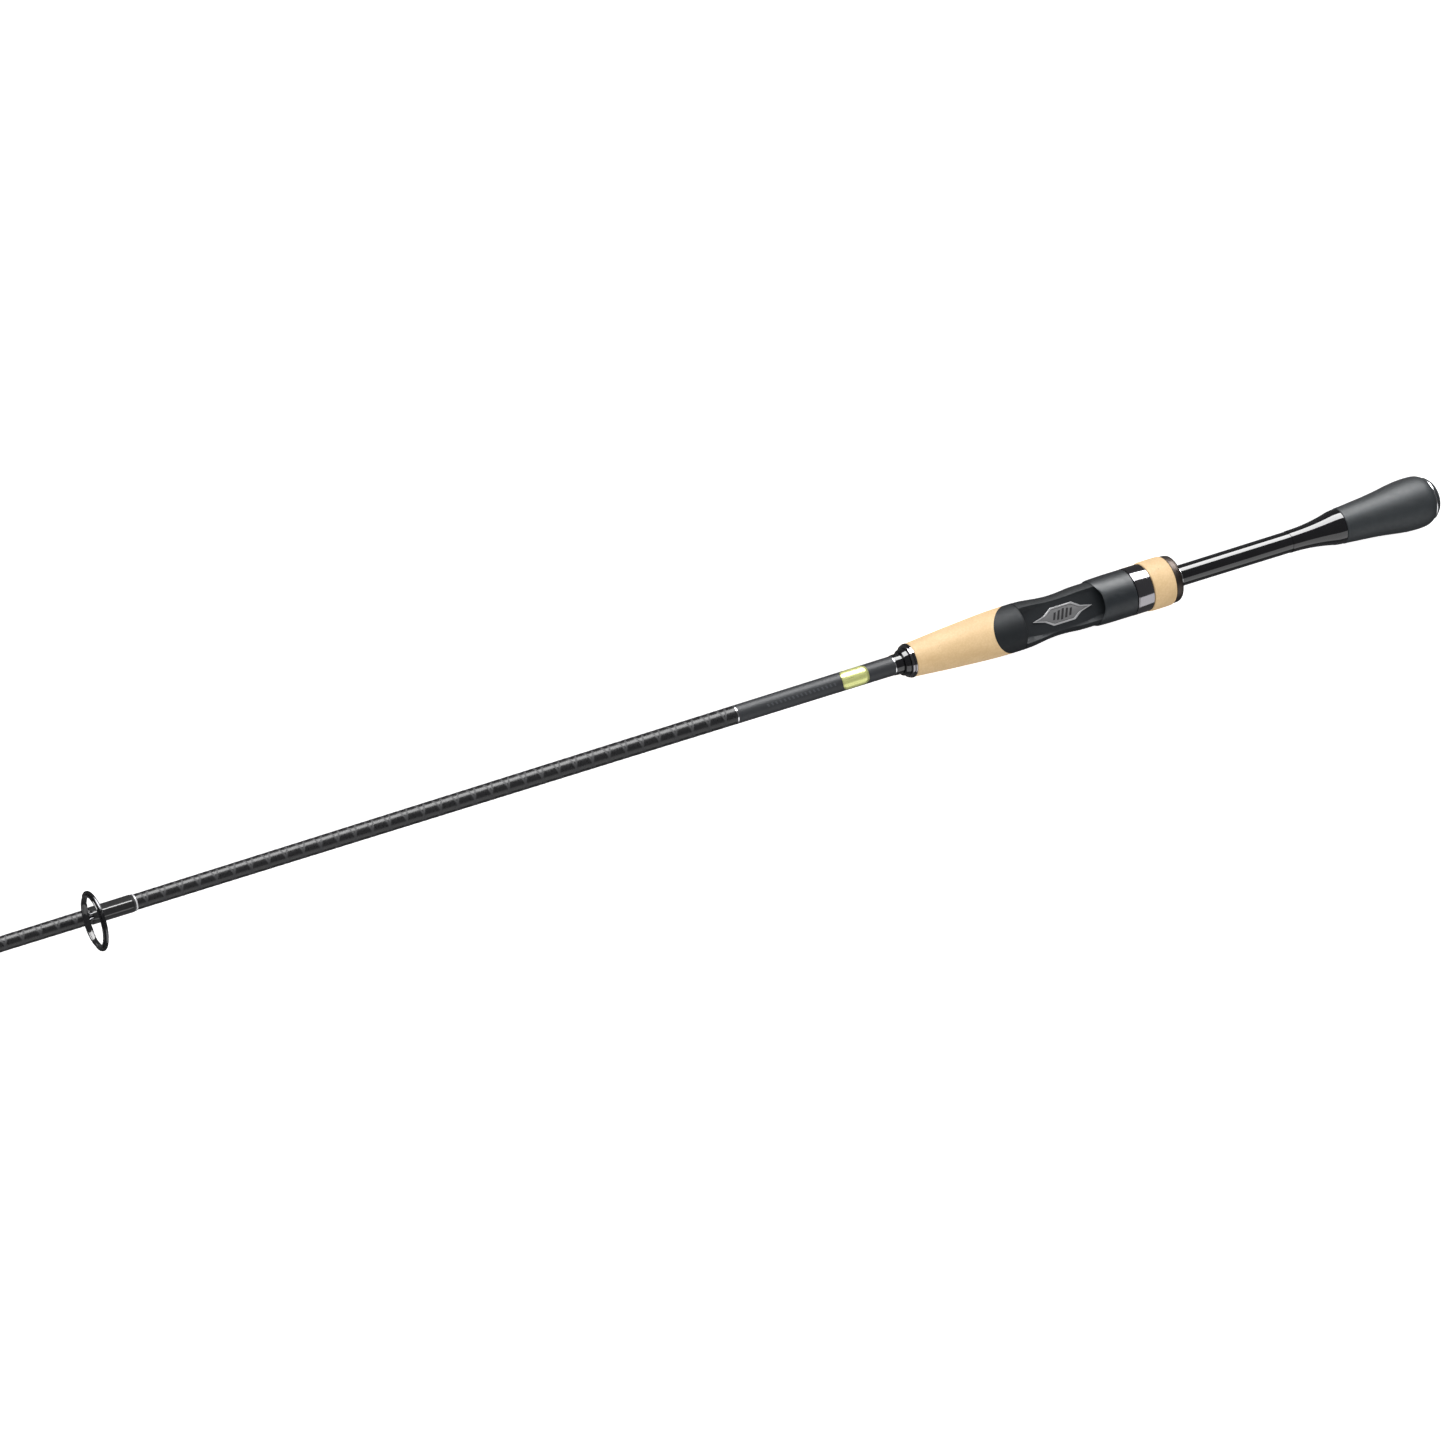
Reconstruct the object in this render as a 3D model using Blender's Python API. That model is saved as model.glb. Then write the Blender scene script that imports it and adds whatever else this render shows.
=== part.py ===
"""A two-piece spinning rod, 2.13 m long, lying along X with its guides and reel bed facing +Z.

Stations are millimetres along the rod from the butt's end face, and radii are millimetres from the
rod's axis. The origin is the centre of the reel bed's flat face, and +X points to the tip.
"""

import math

import bmesh
import bpy
from mathutils import Vector

MM = 0.001
BED_STATION = 248.0  # centre of the reel bed
BED_HEIGHT = 7.3  # the bed's flat face above the rod's axis

GLUE = 0.12  # radial room for glue between a piece and what it sits on
GAP = 0.3  # room between faces that meet
RUNNING = 0.06  # radial room of a fit that slides

ROUND = 28  # sides of the handle's turned pieces
BLANK_SIDES = 20
RING_SIDES = 24
WIRE_SIDES = 6

# the blanks: outer radius at stations, straight tapers between them
BUTT_BLANK = [(5.0, 6.30), (170.0, 6.08), (352.0, 5.38), (1100.0, 3.58)]
TIP_BLANK = [(1035.0, 4.64), (1100.0, 4.42), (2124.0, 0.90)]
BLANK_WALL = 1.0
BORE_END = 1700.0  # the tip section is solid from here on
SOCKET_SPARE = 2.0  # the socket is this much deeper than the butt section's end
SOCKET_SHOULDER = 0.5

# the rear grip, with its cap, trim ring and flare
CAP_EDGE = 2.6
CAP_RADIUS = 11.8
CAP_SPIGOT = (8.7, 8.0)  # radius and end station
SPIGOT_BORE = 6.9
SPIGOT_FLOOR = 3.6
TRIM_RING = (2.9, 4.4, 12.35)
REAR_GRIP_START = 4.7
REAR_GRIP_END = 62.4
FLARE_SHOULDER = (67.6, 9.5)
FLARE_END = 96.0
FLARE_MOUTH = 10.05
FLARE_TAIL = 6.6

# the reel seat
THREAD_START = 189.6
THREAD_RADIUS = 9.5
BARREL_START = 214.6
BARREL_RADIUS = 12.2
HOOD_TRAVEL_END = 235.0
WAIST_STATION = 249.5
WAIST_RADIUS = 11.28
LIP_STATION = 273.4  # where the fixed hood's roof starts
HOOD_RADIUS = 13.15
SEAT_END = 278.0
TONGUE_SLOPE = 1.19  # the seat's end runs this far forward per unit of height above the axis
CHANNEL_HALF = 8.0
CHANNEL_DROP = 0.4  # the channel's floor below the bed's face
POCKET_ROOF = 12.1
POCKET_END = 283.0
BED_START = 224.5
BED_END = 271.5
BED_HALF = 7.6
BADGE_LENGTH = 38.4
BADGE_STATION = 247.3
BADGE_WIDTH = 10.2
BADGE_DEPTH = 0.7

# the moving hood and its nut
HOOD_START = 202.3
HOOD_MOUTH = 223.2
HOOD_INNER = 12.35
INSERT = (204.5, 210.3)
NUT_START = 172.6
NUT_END = 202.0
NUT_BORE = 9.65
NUT_SHELL = 11.0
CHECK_BORE = 6.5
CORK_START = 177.3
CORK_END = 191.3
CORK_RADIUS = 14.0
BAND_START = 191.6
BAND_RADIUS = 13.35

# the fore grip and the rings in front of it
FORE_GRIP_END = 341.1
FRONT_CHECK = (341.3, 344.0)
COLLAR_RING = (344.2, 347.1)
GLOSS_COLLAR = (347.3, 352.0)

# each guide: the ring's station, its frame's outer radius, and its centre's height above the axis
GUIDES = [
    (848.0, 16.25, 34.4),
    (1152.0, 10.8, 25.0),
    (1365.0, 7.2, 16.5),
    (1540.0, 5.2, 11.6),
    (1690.0, 3.9, 8.6),
    (1820.0, 3.6, 7.6),
    (1932.0, 3.5, 7.0),
    (2034.0, 3.4, 6.4),
]
GUIDE_LEAN = 0.058  # how far a ring leans towards the tip, per unit of height
TIP_TOP = (2131.0, 3.4, 3.8)
TIP_TUBE = (2112.0, 2126.0, 1.5)
THREAD_THICKNESS = 0.35
WRAP_STEP = 3.0  # length over which a wrap climbs from the blank onto the foot

BLACK = (0.012, 0.013, 0.015)
MATERIALS = {
    "matte_black": (BLACK, 0.5, 0.0),
    "gloss_black": (BLACK, 0.08, 0.0),
    "blank_black": ((0.02, 0.02, 0.021), 0.35, 0.0),
    "cork": ((0.85, 0.62, 0.36), 0.65, 0.0),
    "dark_chrome": ((0.25, 0.24, 0.26), 0.12, 1.0),
    "silver": ((0.7, 0.7, 0.7), 0.2, 1.0),
    "guide_metal": ((0.06, 0.06, 0.065), 0.2, 1.0),
    "ceramic": ((0.02, 0.02, 0.022), 0.12, 0.0),
    "badge": ((0.3, 0.3, 0.31), 0.3, 1.0),
}


def clear_scene():
    for scene_object in list(bpy.data.objects):
        bpy.data.objects.remove(scene_object, do_unlink=True)


def place(station, y, height):
    """A point in metres, from its station, its side offset and its height above the rod's axis."""
    return Vector(((station - BED_STATION) * MM, y * MM, (height - BED_HEIGHT) * MM))


def taper(points, station):
    """The radius at a station, on straight tapers between (station, radius) points."""
    for (start, first), (end, last) in zip(points, points[1:]):
        if station <= end:
            return first + (last - first) * (station - start) / (end - start)
    return points[-1][1]


def material(name):
    found = bpy.data.materials.get(name)
    if found:
        return found
    colour, roughness, metallic = MATERIALS[name]
    made = bpy.data.materials.new(name)
    made.use_nodes = True
    shader = made.node_tree.nodes["Principled BSDF"]
    shader.inputs["Base Color"].default_value = (*colour, 1.0)
    shader.inputs["Roughness"].default_value = roughness
    shader.inputs["Metallic"].default_value = metallic
    return made


def add_object(name, mesh_data, look, smooth_below=40.0):
    """Turns a bmesh into an object, with its faces outwards and its round faces smooth."""
    bmesh.ops.recalc_face_normals(mesh_data, faces=mesh_data.faces)
    mesh = bpy.data.meshes.new(name)
    mesh_data.to_mesh(mesh)
    mesh_data.free()
    mesh.shade_smooth()
    mesh.set_sharp_from_angle(angle=math.radians(smooth_below))
    mesh.materials.append(material(look))
    made = bpy.data.objects.new(name, mesh)
    bpy.context.scene.collection.objects.link(made)
    return made


def bridge(mesh_data, first, second):
    """Faces between two rings of vertices. A ring of one vertex makes a fan."""
    count = max(len(first), len(second))
    for i in range(count):
        corners = [first[i % len(first)], first[(i + 1) % len(first)]]
        corners += [second[(i + 1) % len(second)], second[i % len(second)]]
        mesh_data.faces.new(list(dict.fromkeys(corners)))


def turned(name, outline, look, sides=ROUND, closed=True):
    """Turns an outline of (station, radius) points, or (station, radius, slope), round the rod's axis.

    A closed outline makes a ring, and an open one starts and ends on the axis. A point with a slope
    moves forward with its height above the axis, which cuts that end of the piece on a slant.
    """
    mesh_data = bmesh.new()
    rings = []
    for station, radius, *slope in outline:
        ring = []
        for i in range(sides if radius else 1):
            angle = (i + 0.5) * math.tau / sides
            y, height = radius * math.sin(angle), radius * math.cos(angle)
            forward = slope[0] * max(height, 0.0) if slope else 0.0
            ring.append(mesh_data.verts.new(place(station + forward, y, height)))
        rings.append(ring)
    pairs = list(zip(rings, rings[1:]))
    if closed:
        pairs.append((rings[-1], rings[0]))
    for first, second in pairs:
        bridge(mesh_data, first, second)
    return add_object(name, mesh_data, look)


def tube(name, outer, inner, look, sides=ROUND):
    """A ring-shaped piece from its outer outline and its bore's, both running towards the tip."""
    return turned(name, outer + inner[::-1], look, sides)


def swept(name, points, radius, look, sides=WIRE_SIDES):
    """A round wire along a list of points in metres, with its ends closed."""
    mesh_data = bmesh.new()
    rings = []
    side = Vector((0.0, 0.0, 1.0))
    for i, point in enumerate(points):
        forward = points[min(i + 1, len(points) - 1)] - points[max(i - 1, 0)]
        forward.normalize()
        side = (side - forward * side.dot(forward)).normalized()
        across = forward.cross(side)
        turns = [k * math.tau / sides for k in range(sides)]
        offsets = [side * math.cos(turn) + across * math.sin(turn) for turn in turns]
        rings.append([mesh_data.verts.new(point + offset * radius * MM) for offset in offsets])
    for first, second in zip(rings, rings[1:]):
        bridge(mesh_data, first, second)
    mesh_data.faces.new(rings[0])
    mesh_data.faces.new(rings[-1])
    return add_object(name, mesh_data, look, smooth_below=70.0)


def prism(name, outline, start, end, look="matte_black"):
    """Extrudes an outline of (y, height) points from one station to another."""
    mesh_data = bmesh.new()
    ends = [[mesh_data.verts.new(place(s, y, h)) for y, h in outline] for s in (start, end)]
    bridge(mesh_data, *ends)
    for end_ring in ends:
        mesh_data.faces.new(end_ring)
    return add_object(name, mesh_data, look)


def slab(name, outline, bottom, top, look="matte_black"):
    """Extrudes an outline of (station, y) points upwards from one height to another."""
    mesh_data = bmesh.new()
    ends = [[mesh_data.verts.new(place(s, y, h)) for s, y in outline] for h in (bottom, top)]
    bridge(mesh_data, *ends)
    for end_ring in ends:
        mesh_data.faces.new(end_ring)
    return add_object(name, mesh_data, look)


def combine(base, tool, operation="DIFFERENCE"):
    """Adds a Boolean to an object, and hides the tool from the model."""
    modifier = base.modifiers.new(tool.name, "BOOLEAN")
    modifier.operation = operation
    modifier.object = tool
    tool.hide_render = True
    tool.display_type = "WIRE"


def arch(half_width, floor, roof, steps=8):
    """The outline of a flat-floored space under a round roof."""
    reach = math.asin(half_width / roof)
    turns = [reach - 2.0 * reach * i / steps for i in range(steps + 1)]
    curve = [(roof * math.sin(turn), roof * math.cos(turn)) for turn in turns]
    return [(-half_width, floor), (half_width, floor)] + curve


def butt_blank():
    bore = [(station, radius - BLANK_WALL) for station, radius in BUTT_BLANK]
    tube("butt_blank", BUTT_BLANK, bore, "blank_black", BLANK_SIDES)


def tip_blank():
    """A hollow taper whose lower end is a socket for the butt section's end."""
    start, end = TIP_BLANK[0][0], TIP_BLANK[-1][0]
    socket_end = BUTT_BLANK[-1][0] + SOCKET_SPARE
    socket = [(s, taper(BUTT_BLANK, s) + RUNNING) for s in (socket_end, start)]
    bore = [(BORE_END, 0.0), (BORE_END, taper(TIP_BLANK, BORE_END) - BLANK_WALL)]
    bore.append((socket_end, socket[0][1] - SOCKET_SHOULDER))
    outline = bore + socket + TIP_BLANK + [(end, 0.0)]
    turned("tip_blank", outline, "blank_black", BLANK_SIDES, closed=False)


def rear_handle():
    spigot_radius, spigot_end = CAP_SPIGOT
    cap = [(0.0, 0.0), (0.0, 8.6), (0.4, 9.8), (1.0, 10.75), (1.8, 11.45), (CAP_EDGE, CAP_RADIUS)]
    cap += [(CAP_EDGE, spigot_radius), (spigot_end, spigot_radius)]
    # the spigot is hollow where the blank's end reaches into it
    cap += [(spigot_end, SPIGOT_BORE), (SPIGOT_FLOOR, SPIGOT_BORE), (SPIGOT_FLOOR, 0.0)]
    turned("butt_cap", cap, "matte_black", closed=False)

    start, end, radius = TRIM_RING
    bore = spigot_radius + GLUE
    rounded = [(start, radius - 0.3), (start + 0.3, radius), (end - 0.3, radius), (end, radius - 0.2)]
    tube("butt_trim_ring", rounded, [(start, bore), (end, bore)], "silver")

    swell = [(REAR_GRIP_START, 12.5), (5.4, 13.1), (6.6, 13.75), (8.2, 14.35), (10.8, 14.72), (15.0, 14.8)]
    swell += [(20.0, 14.6), (26.0, 13.95), (34.0, 12.8), (43.0, 11.75), (53.0, 10.95)]
    swell += [(REAR_GRIP_END - 3.0, 10.35), (REAR_GRIP_END - 0.4, 10.3), (REAR_GRIP_END, 9.9)]
    blank_room = BUTT_BLANK[0][1] + GLUE
    shelf = spigot_end + GAP
    bore_line = [(REAR_GRIP_START, bore), (shelf, bore), (shelf, blank_room)]
    bore_line.append((REAR_GRIP_END, blank_room))
    tube("rear_grip", swell, bore_line, "matte_black")

    start = REAR_GRIP_END + GAP
    shoulder, shoulder_radius = FLARE_SHOULDER
    flare = [(start, FLARE_MOUTH), (start + 2.5, FLARE_MOUTH - 0.2)]
    for t in (0.0, 0.06, 0.14, 0.25, 0.38, 0.55, 0.75, 1.0):
        radius = FLARE_TAIL + (shoulder_radius - FLARE_TAIL) * (1.0 - t) ** 2.1
        flare.append((shoulder + (FLARE_END - shoulder) * t, radius))
    tube("grip_flare", flare, [(start, blank_room - 0.08), (FLARE_END, blank_room - 0.08)], "gloss_black")


def badge_outline(shrink=0.0):
    """A long hexagon with drawn-out points, as (station, y)."""
    length, half = BADGE_LENGTH / 2.0 - shrink * 2.0, BADGE_WIDTH / 2.0 - shrink
    wing, shoulder = length * 0.62, length * 0.36
    quarter = [(length, 0.0), (wing, half * 0.36), (shoulder, half)]
    upper = quarter + [(-s, y) for s, y in quarter[::-1]]
    lower = [(-s, -y) for s, y in quarter[1:]] + [(s, -y) for s, y in quarter[:0:-1]]
    return [(BADGE_STATION + s, y) for s, y in upper + lower]


def reel_seat():
    outer = [(THREAD_START, THREAD_RADIUS - 0.4), (THREAD_START + 0.8, THREAD_RADIUS)]
    outer += [(BARREL_START - 0.5, THREAD_RADIUS), (BARREL_START, BARREL_RADIUS)]
    outer.append((HOOD_TRAVEL_END, BARREL_RADIUS))
    outer += [(239.5, 11.8), (244.0, 11.42), (WAIST_STATION, WAIST_RADIUS), (254.5, 11.5)]
    outer += [(259.5, 12.05), (264.5, 12.65), (269.0, 13.0), (LIP_STATION, HOOD_RADIUS)]
    outer.append((SEAT_END, HOOD_RADIUS, TONGUE_SLOPE))
    bores = [(s, taper(BUTT_BLANK, s) + GLUE) for s in (THREAD_START, SEAT_END)]
    bore = [bores[0], (*bores[1], TONGUE_SLOPE)]
    seat = tube("reel_seat_body", outer, bore, "matte_black")

    floor = BED_HEIGHT - CHANNEL_DROP
    high = HOOD_RADIUS + 5.0
    sides = [(-CHANNEL_HALF, floor), (CHANNEL_HALF, floor), (CHANNEL_HALF, high), (-CHANNEL_HALF, high)]
    combine(seat, prism("channel_cutter", sides, THREAD_START - 5.0, LIP_STATION))
    space = arch(CHANNEL_HALF, floor, POCKET_ROOF)
    combine(seat, prism("pocket_cutter", space, LIP_STATION - 1.0, POCKET_END))
    corners = [(BED_START, -BED_HALF), (BED_END, -BED_HALF), (BED_END, BED_HALF), (BED_START, BED_HALF)]
    combine(seat, slab("bed_pad", corners, BED_HEIGHT - 0.9, BED_HEIGHT), "UNION")
    recess = BED_HEIGHT - BADGE_DEPTH
    combine(seat, slab("badge_cutter", badge_outline(), recess, high))
    slab("badge_plate", badge_outline(GLUE), recess + GLUE, BED_HEIGHT - 0.05, "badge")


def moving_hood():
    outer = [(HOOD_START, 13.05), (HOOD_START + 0.5, 13.25), (214.0, 13.2), (219.5, 13.08)]
    outer += [(HOOD_MOUTH - 0.3, 12.95), (HOOD_MOUTH, 12.7)]
    inner = [(HOOD_START, HOOD_INNER), (HOOD_MOUTH - 0.2, HOOD_INNER), (HOOD_MOUTH, HOOD_INNER + 0.1)]
    tube("moving_hood", outer, inner, "matte_black")
    block = arch(CHANNEL_HALF - 0.2, BED_HEIGHT - CHANNEL_DROP + 0.2, HOOD_INNER - 0.15, steps=6)
    prism("hood_insert", block, *INSERT, "matte_black")


def lock_nut():
    start, end = NUT_START, CORK_START - GAP
    outer = [(start, 12.6), (start + 0.3, 13.0), (start + 1.2, BAND_RADIUS), (end, BAND_RADIUS)]
    tube("nut_rear_check", outer, [(start, CHECK_BORE), (end, CHECK_BORE)], "dark_chrome")

    start, end = CORK_START, NUT_END - 0.2
    bore = [(start, NUT_BORE), (end, NUT_BORE)]
    tube("nut_sleeve", [(start, NUT_SHELL), (end, NUT_SHELL)], bore, "matte_black")

    start, end, bore = CORK_START, CORK_END, NUT_SHELL + GLUE
    crown = [(start, CORK_RADIUS - 0.5), (start + 0.6, CORK_RADIUS - 0.15), (start + 4.5, CORK_RADIUS)]
    crown += [(end - 4.5, CORK_RADIUS), (end - 0.6, CORK_RADIUS - 0.15), (end, CORK_RADIUS - 0.5)]
    tube("nut_cork_ring", crown, [(start, bore), (end, bore)], "cork")

    start, end = BAND_START, NUT_END
    outer = [(start, BAND_RADIUS - 0.25), (start + 0.4, BAND_RADIUS), (end - 0.4, BAND_RADIUS)]
    outer.append((end, BAND_RADIUS - 0.25))
    tube("nut_metal_band", outer, [(start, bore), (end, bore)], "dark_chrome")


def fore_grip():
    start = SEAT_END + GAP
    outer = [(start, HOOD_RADIUS, TONGUE_SLOPE), (295.5, 12.65), (302.0, 12.25), (310.0, 11.75)]
    outer += [(320.0, 11.05), (330.0, 10.25), (338.3, 9.55), (340.3, 9.35), (FORE_GRIP_END, 8.8)]
    ends = [(s, taper(BUTT_BLANK, s) + GLUE) for s in (start, FORE_GRIP_END)]
    tube("fore_grip", outer, [(*ends[0], TONGUE_SLOPE), ends[1]], "cork")


def front_rings():
    start, end = FRONT_CHECK
    bore = taper(BUTT_BLANK, start) + GLUE
    steps = [(start, 9.35), (start + 0.3, 9.6), (start + 1.1, 9.6), (start + 1.2, 9.0)]
    steps += [(end - 0.7, 8.9), (end, 8.3)]
    tube("front_check", steps, [(start, bore), (end, bore)], "dark_chrome")

    start, end = COLLAR_RING
    ring = [(start, 7.7), (start + 0.3, 7.85), (end - 0.5, 7.15), (end, 6.8)]
    tube("front_collar_ring", ring, [(start, bore), (end, bore)], "gloss_black")

    start, end = GLOSS_COLLAR
    collar = [(start, 5.8), (end - 0.8, 5.76), (end, 5.66)]
    tube("gloss_collar", collar, [(start, bore), (end, bore)], "gloss_black")


def rounded_path(corners, cuts, steps=3):
    """Replaces inner corners of a path by curves that leave each side at the given distance."""
    path = [corners[0]]
    for before, corner, after, cut in zip(corners, corners[1:], corners[2:], cuts):
        entry = corner + (before - corner).normalized() * min(cut, (before - corner).length * 0.45)
        leave = corner + (after - corner).normalized() * min(cut, (after - corner).length * 0.45)
        for i in range(steps + 1):
            t = i / steps
            path.append(entry * (1 - t) ** 2 + corner * 2 * t * (1 - t) + leave * t**2)
    return path + [corners[-1]]


class Guide:
    """The sizes of one guide, all worked out from its ring."""

    def __init__(self, station, radius, height):
        self.station, self.radius, self.height = station, radius, height
        self.wire = 0.35 + 0.037 * radius
        self.centreline = radius - self.wire
        self.ceramic = 0.5 + 0.043 * radius
        self.hole = radius - 2.0 * self.wire - 0.1 - self.ceramic
        self.bend = 0.2 * radius
        self.foot_end = station - 0.66 * radius
        self.foot_start = self.foot_end - 9.0 - radius
        self.blank = TIP_BLANK if station > TIP_BLANK[0][0] else BUTT_BLANK

    def foot_height(self, station):
        return taper(self.blank, station) + self.wire + 0.05


def guide_frame(name, guide, foot, side, ring_steps):
    """One bent wire: along the foot, up a leg, round the ring and back down the other leg.

    foot is the two ends of its straight run, and side is how far the run lies from the centre plane.
    """
    rise = guide.height - foot[1].z
    reach = math.hypot(side, rise)
    start_turn = math.acos(guide.centreline / reach) + math.atan2(side, rise)
    turns = [start_turn + (math.tau - 2 * start_turn) * i / ring_steps for i in range(ring_steps + 1)]

    def on_ring(turn):
        y, height = guide.centreline * math.sin(turn), guide.height - guide.centreline * math.cos(turn)
        return Vector((guide.station + (height - guide.height) * GUIDE_LEAN, y, height))

    leg = [Vector((p.x, side, p.z)) for p in foot]
    cuts = [guide.bend, guide.bend]
    half = rounded_path(leg + [on_ring(turns[0]), on_ring(turns[1])], cuts)[:-1]
    mirrored = [Vector((p.x, -p.y, p.z)) for p in half[::-1]]
    path = half + [on_ring(turn) for turn in turns[1:-1]] + mirrored
    swept(name, [place(*p) for p in path], guide.wire, "guide_metal")


def guide_ring(name, guide, sides=RING_SIDES):
    """The ceramic ring that the line runs through, turned about its own axis."""
    half_width = 0.75 * guide.ceramic + 0.45
    outer = guide.radius - 2.0 * guide.wire - 0.1
    section = [(-half_width, outer - 0.15), (half_width, outer - 0.15)]
    section += [(half_width, guide.hole + 0.45 * guide.ceramic), (half_width * 0.45, guide.hole)]
    section += [(-half_width * 0.45, guide.hole), (-half_width, guide.hole + 0.45 * guide.ceramic)]
    mesh_data = bmesh.new()
    rings = []
    for along, radius in section:
        ring = []
        for i in range(sides):
            turn = i * math.tau / sides
            y, height = radius * math.sin(turn), guide.height + radius * math.cos(turn)
            station = guide.station + along + (height - guide.height) * GUIDE_LEAN
            ring.append(mesh_data.verts.new(place(station, y, height)))
        rings.append(ring)
    for first, second in zip(rings, rings[1:] + rings[:1]):
        bridge(mesh_data, first, second)
    add_object(name, mesh_data, "ceramic", smooth_below=60.0)


def tight_loop(circles, sides):
    """The corners, as (y, height), of a thread pulled tight round circles given as (y, height, radius).

    Each side of the loop touches the outermost circle in its direction.
    """
    turns = [k * math.tau / sides for k in range(sides)]
    normals = [(math.sin(turn), math.cos(turn)) for turn in turns]
    reach = [max(y * a + h * b + r for y, h, r in circles) for a, b in normals]
    step = math.tau / sides
    corners = []
    for k, (a, b) in enumerate(normals):
        following = (k + 1) % sides
        first = (reach[k] - reach[following] * math.cos(step)) / math.sin(step) ** 2
        second = (reach[following] - reach[k] * math.cos(step)) / math.sin(step) ** 2
        c, d = normals[following]
        corners.append((a * first + c * second, b * first + d * second))
    return corners


def wrap(name, blank, start, end, foot=None, sides=BLANK_SIDES):
    """A varnished thread winding round the blank, and round a guide's foot where it has one.

    foot is a guide, whose two wires lie side by side on the blank under the winding.
    """
    stations = [start, start + WRAP_STEP * 0.4, start + WRAP_STEP, end] if foot else [start, end]
    mesh_data = bmesh.new()
    rings = []
    for layer in (GLUE + THREAD_THICKNESS, GLUE):
        walk = list(enumerate(stations))
        for k, station in walk if layer > GLUE else walk[::-1]:
            radius = taper(blank, station)
            circles = [(0.0, 0.0, radius + layer)]
            if foot and k >= 2:
                lift = foot.foot_height(start + WRAP_STEP)
                reach = foot.wire + layer
                circles += [(foot.wire + 0.15, lift, reach), (-foot.wire - 0.15, lift, reach)]
            loop = tight_loop(circles, sides)
            rings.append([mesh_data.verts.new(place(station, y, h)) for y, h in loop])
    for first, second in zip(rings, rings[1:] + rings[:1]):
        bridge(mesh_data, first, second)
    add_object(name, mesh_data, "gloss_black")


def line_guide(number, station, radius, height):
    guide = Guide(station, radius, height)
    lift = guide.foot_height(guide.foot_start + WRAP_STEP)
    foot_ends = (guide.foot_start + WRAP_STEP + GAP, guide.foot_end + guide.bend + GAP)
    foot = [Vector((s, 0.0, lift)) for s in foot_ends]
    big = radius > 8.0
    guide_frame(f"guide_{number}_frame", guide, foot, guide.wire + 0.15, 20 if big else 14)
    guide_ring(f"guide_{number}_ring", guide, RING_SIDES + 4 if big else RING_SIDES - 6)
    wrap(f"guide_{number}_wrap", guide.blank, guide.foot_start, guide.foot_end, guide)


def tip_top():
    start, end, radius = TIP_TUBE
    bore = taper(TIP_BLANK, start) + 0.08
    closed_end = TIP_BLANK[-1][0] + GAP
    outline = [(closed_end, 0.0), (closed_end, bore), (start, bore), (start, radius)]
    outline += [(end - 0.5, radius), (end, radius - 0.4), (end, 0.0)]
    turned("tip_top_tube", outline, "guide_metal", 16, closed=False)
    guide = Guide(*TIP_TOP)
    foot = [Vector((start + 3.0, 0.0, 0.0)), Vector((end - 3.0, 0.0, 0.0))]
    guide_frame("tip_top_frame", guide, foot, radius + guide.wire + 0.1, 14)
    guide_ring("tip_top_ring", guide, RING_SIDES - 6)
    wrap("tip_top_wrap", TIP_BLANK, start - 8.0, start - GAP)


def main():
    clear_scene()
    butt_blank()
    rear_handle()
    lock_nut()
    moving_hood()
    reel_seat()
    fore_grip()
    front_rings()
    tip_blank()
    wrap("ferrule_wrap", TIP_BLANK, TIP_BLANK[0][0] + 0.5, TIP_BLANK[0][0] + 13.0)
    for number, (station, radius, height) in enumerate(GUIDES, 1):
        line_guide(number, station, radius, height)
    tip_top()


main()
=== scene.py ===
"""The looks of a two-piece spinning rod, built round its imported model.

Stations are millimetres along the rod from the butt's end face, and radii are millimetres from the
rod's axis. Every piece that shows is made here at full detail, in the place its CAD node holds.
"""

import math

import bmesh
import bpy
from mathutils import Matrix, Vector


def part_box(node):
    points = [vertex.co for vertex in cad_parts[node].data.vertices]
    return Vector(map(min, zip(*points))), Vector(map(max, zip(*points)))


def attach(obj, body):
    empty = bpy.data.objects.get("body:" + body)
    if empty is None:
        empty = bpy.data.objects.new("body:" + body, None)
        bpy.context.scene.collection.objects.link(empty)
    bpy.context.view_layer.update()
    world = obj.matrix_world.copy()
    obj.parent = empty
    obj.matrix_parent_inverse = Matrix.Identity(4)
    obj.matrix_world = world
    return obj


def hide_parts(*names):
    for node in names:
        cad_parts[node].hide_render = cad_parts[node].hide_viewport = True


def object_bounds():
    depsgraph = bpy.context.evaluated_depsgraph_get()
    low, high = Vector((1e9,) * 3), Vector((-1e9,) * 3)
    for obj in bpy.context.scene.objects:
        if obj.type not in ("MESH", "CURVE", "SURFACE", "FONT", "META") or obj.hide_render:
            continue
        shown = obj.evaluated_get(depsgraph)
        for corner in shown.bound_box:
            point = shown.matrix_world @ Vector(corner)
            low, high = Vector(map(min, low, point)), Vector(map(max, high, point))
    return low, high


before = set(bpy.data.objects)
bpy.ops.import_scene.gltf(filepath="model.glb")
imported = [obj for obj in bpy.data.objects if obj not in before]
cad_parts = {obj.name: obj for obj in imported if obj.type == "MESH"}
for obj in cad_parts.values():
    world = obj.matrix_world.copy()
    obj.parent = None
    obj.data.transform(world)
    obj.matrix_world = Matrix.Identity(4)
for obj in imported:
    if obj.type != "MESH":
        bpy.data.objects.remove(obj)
cad_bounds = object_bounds()

MM = 0.001
AXIS_HEIGHT = (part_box("butt_cap")[0].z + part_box("butt_cap")[1].z) / 2.0  # in metres
BUTT_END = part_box("butt_cap")[0].x


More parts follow.
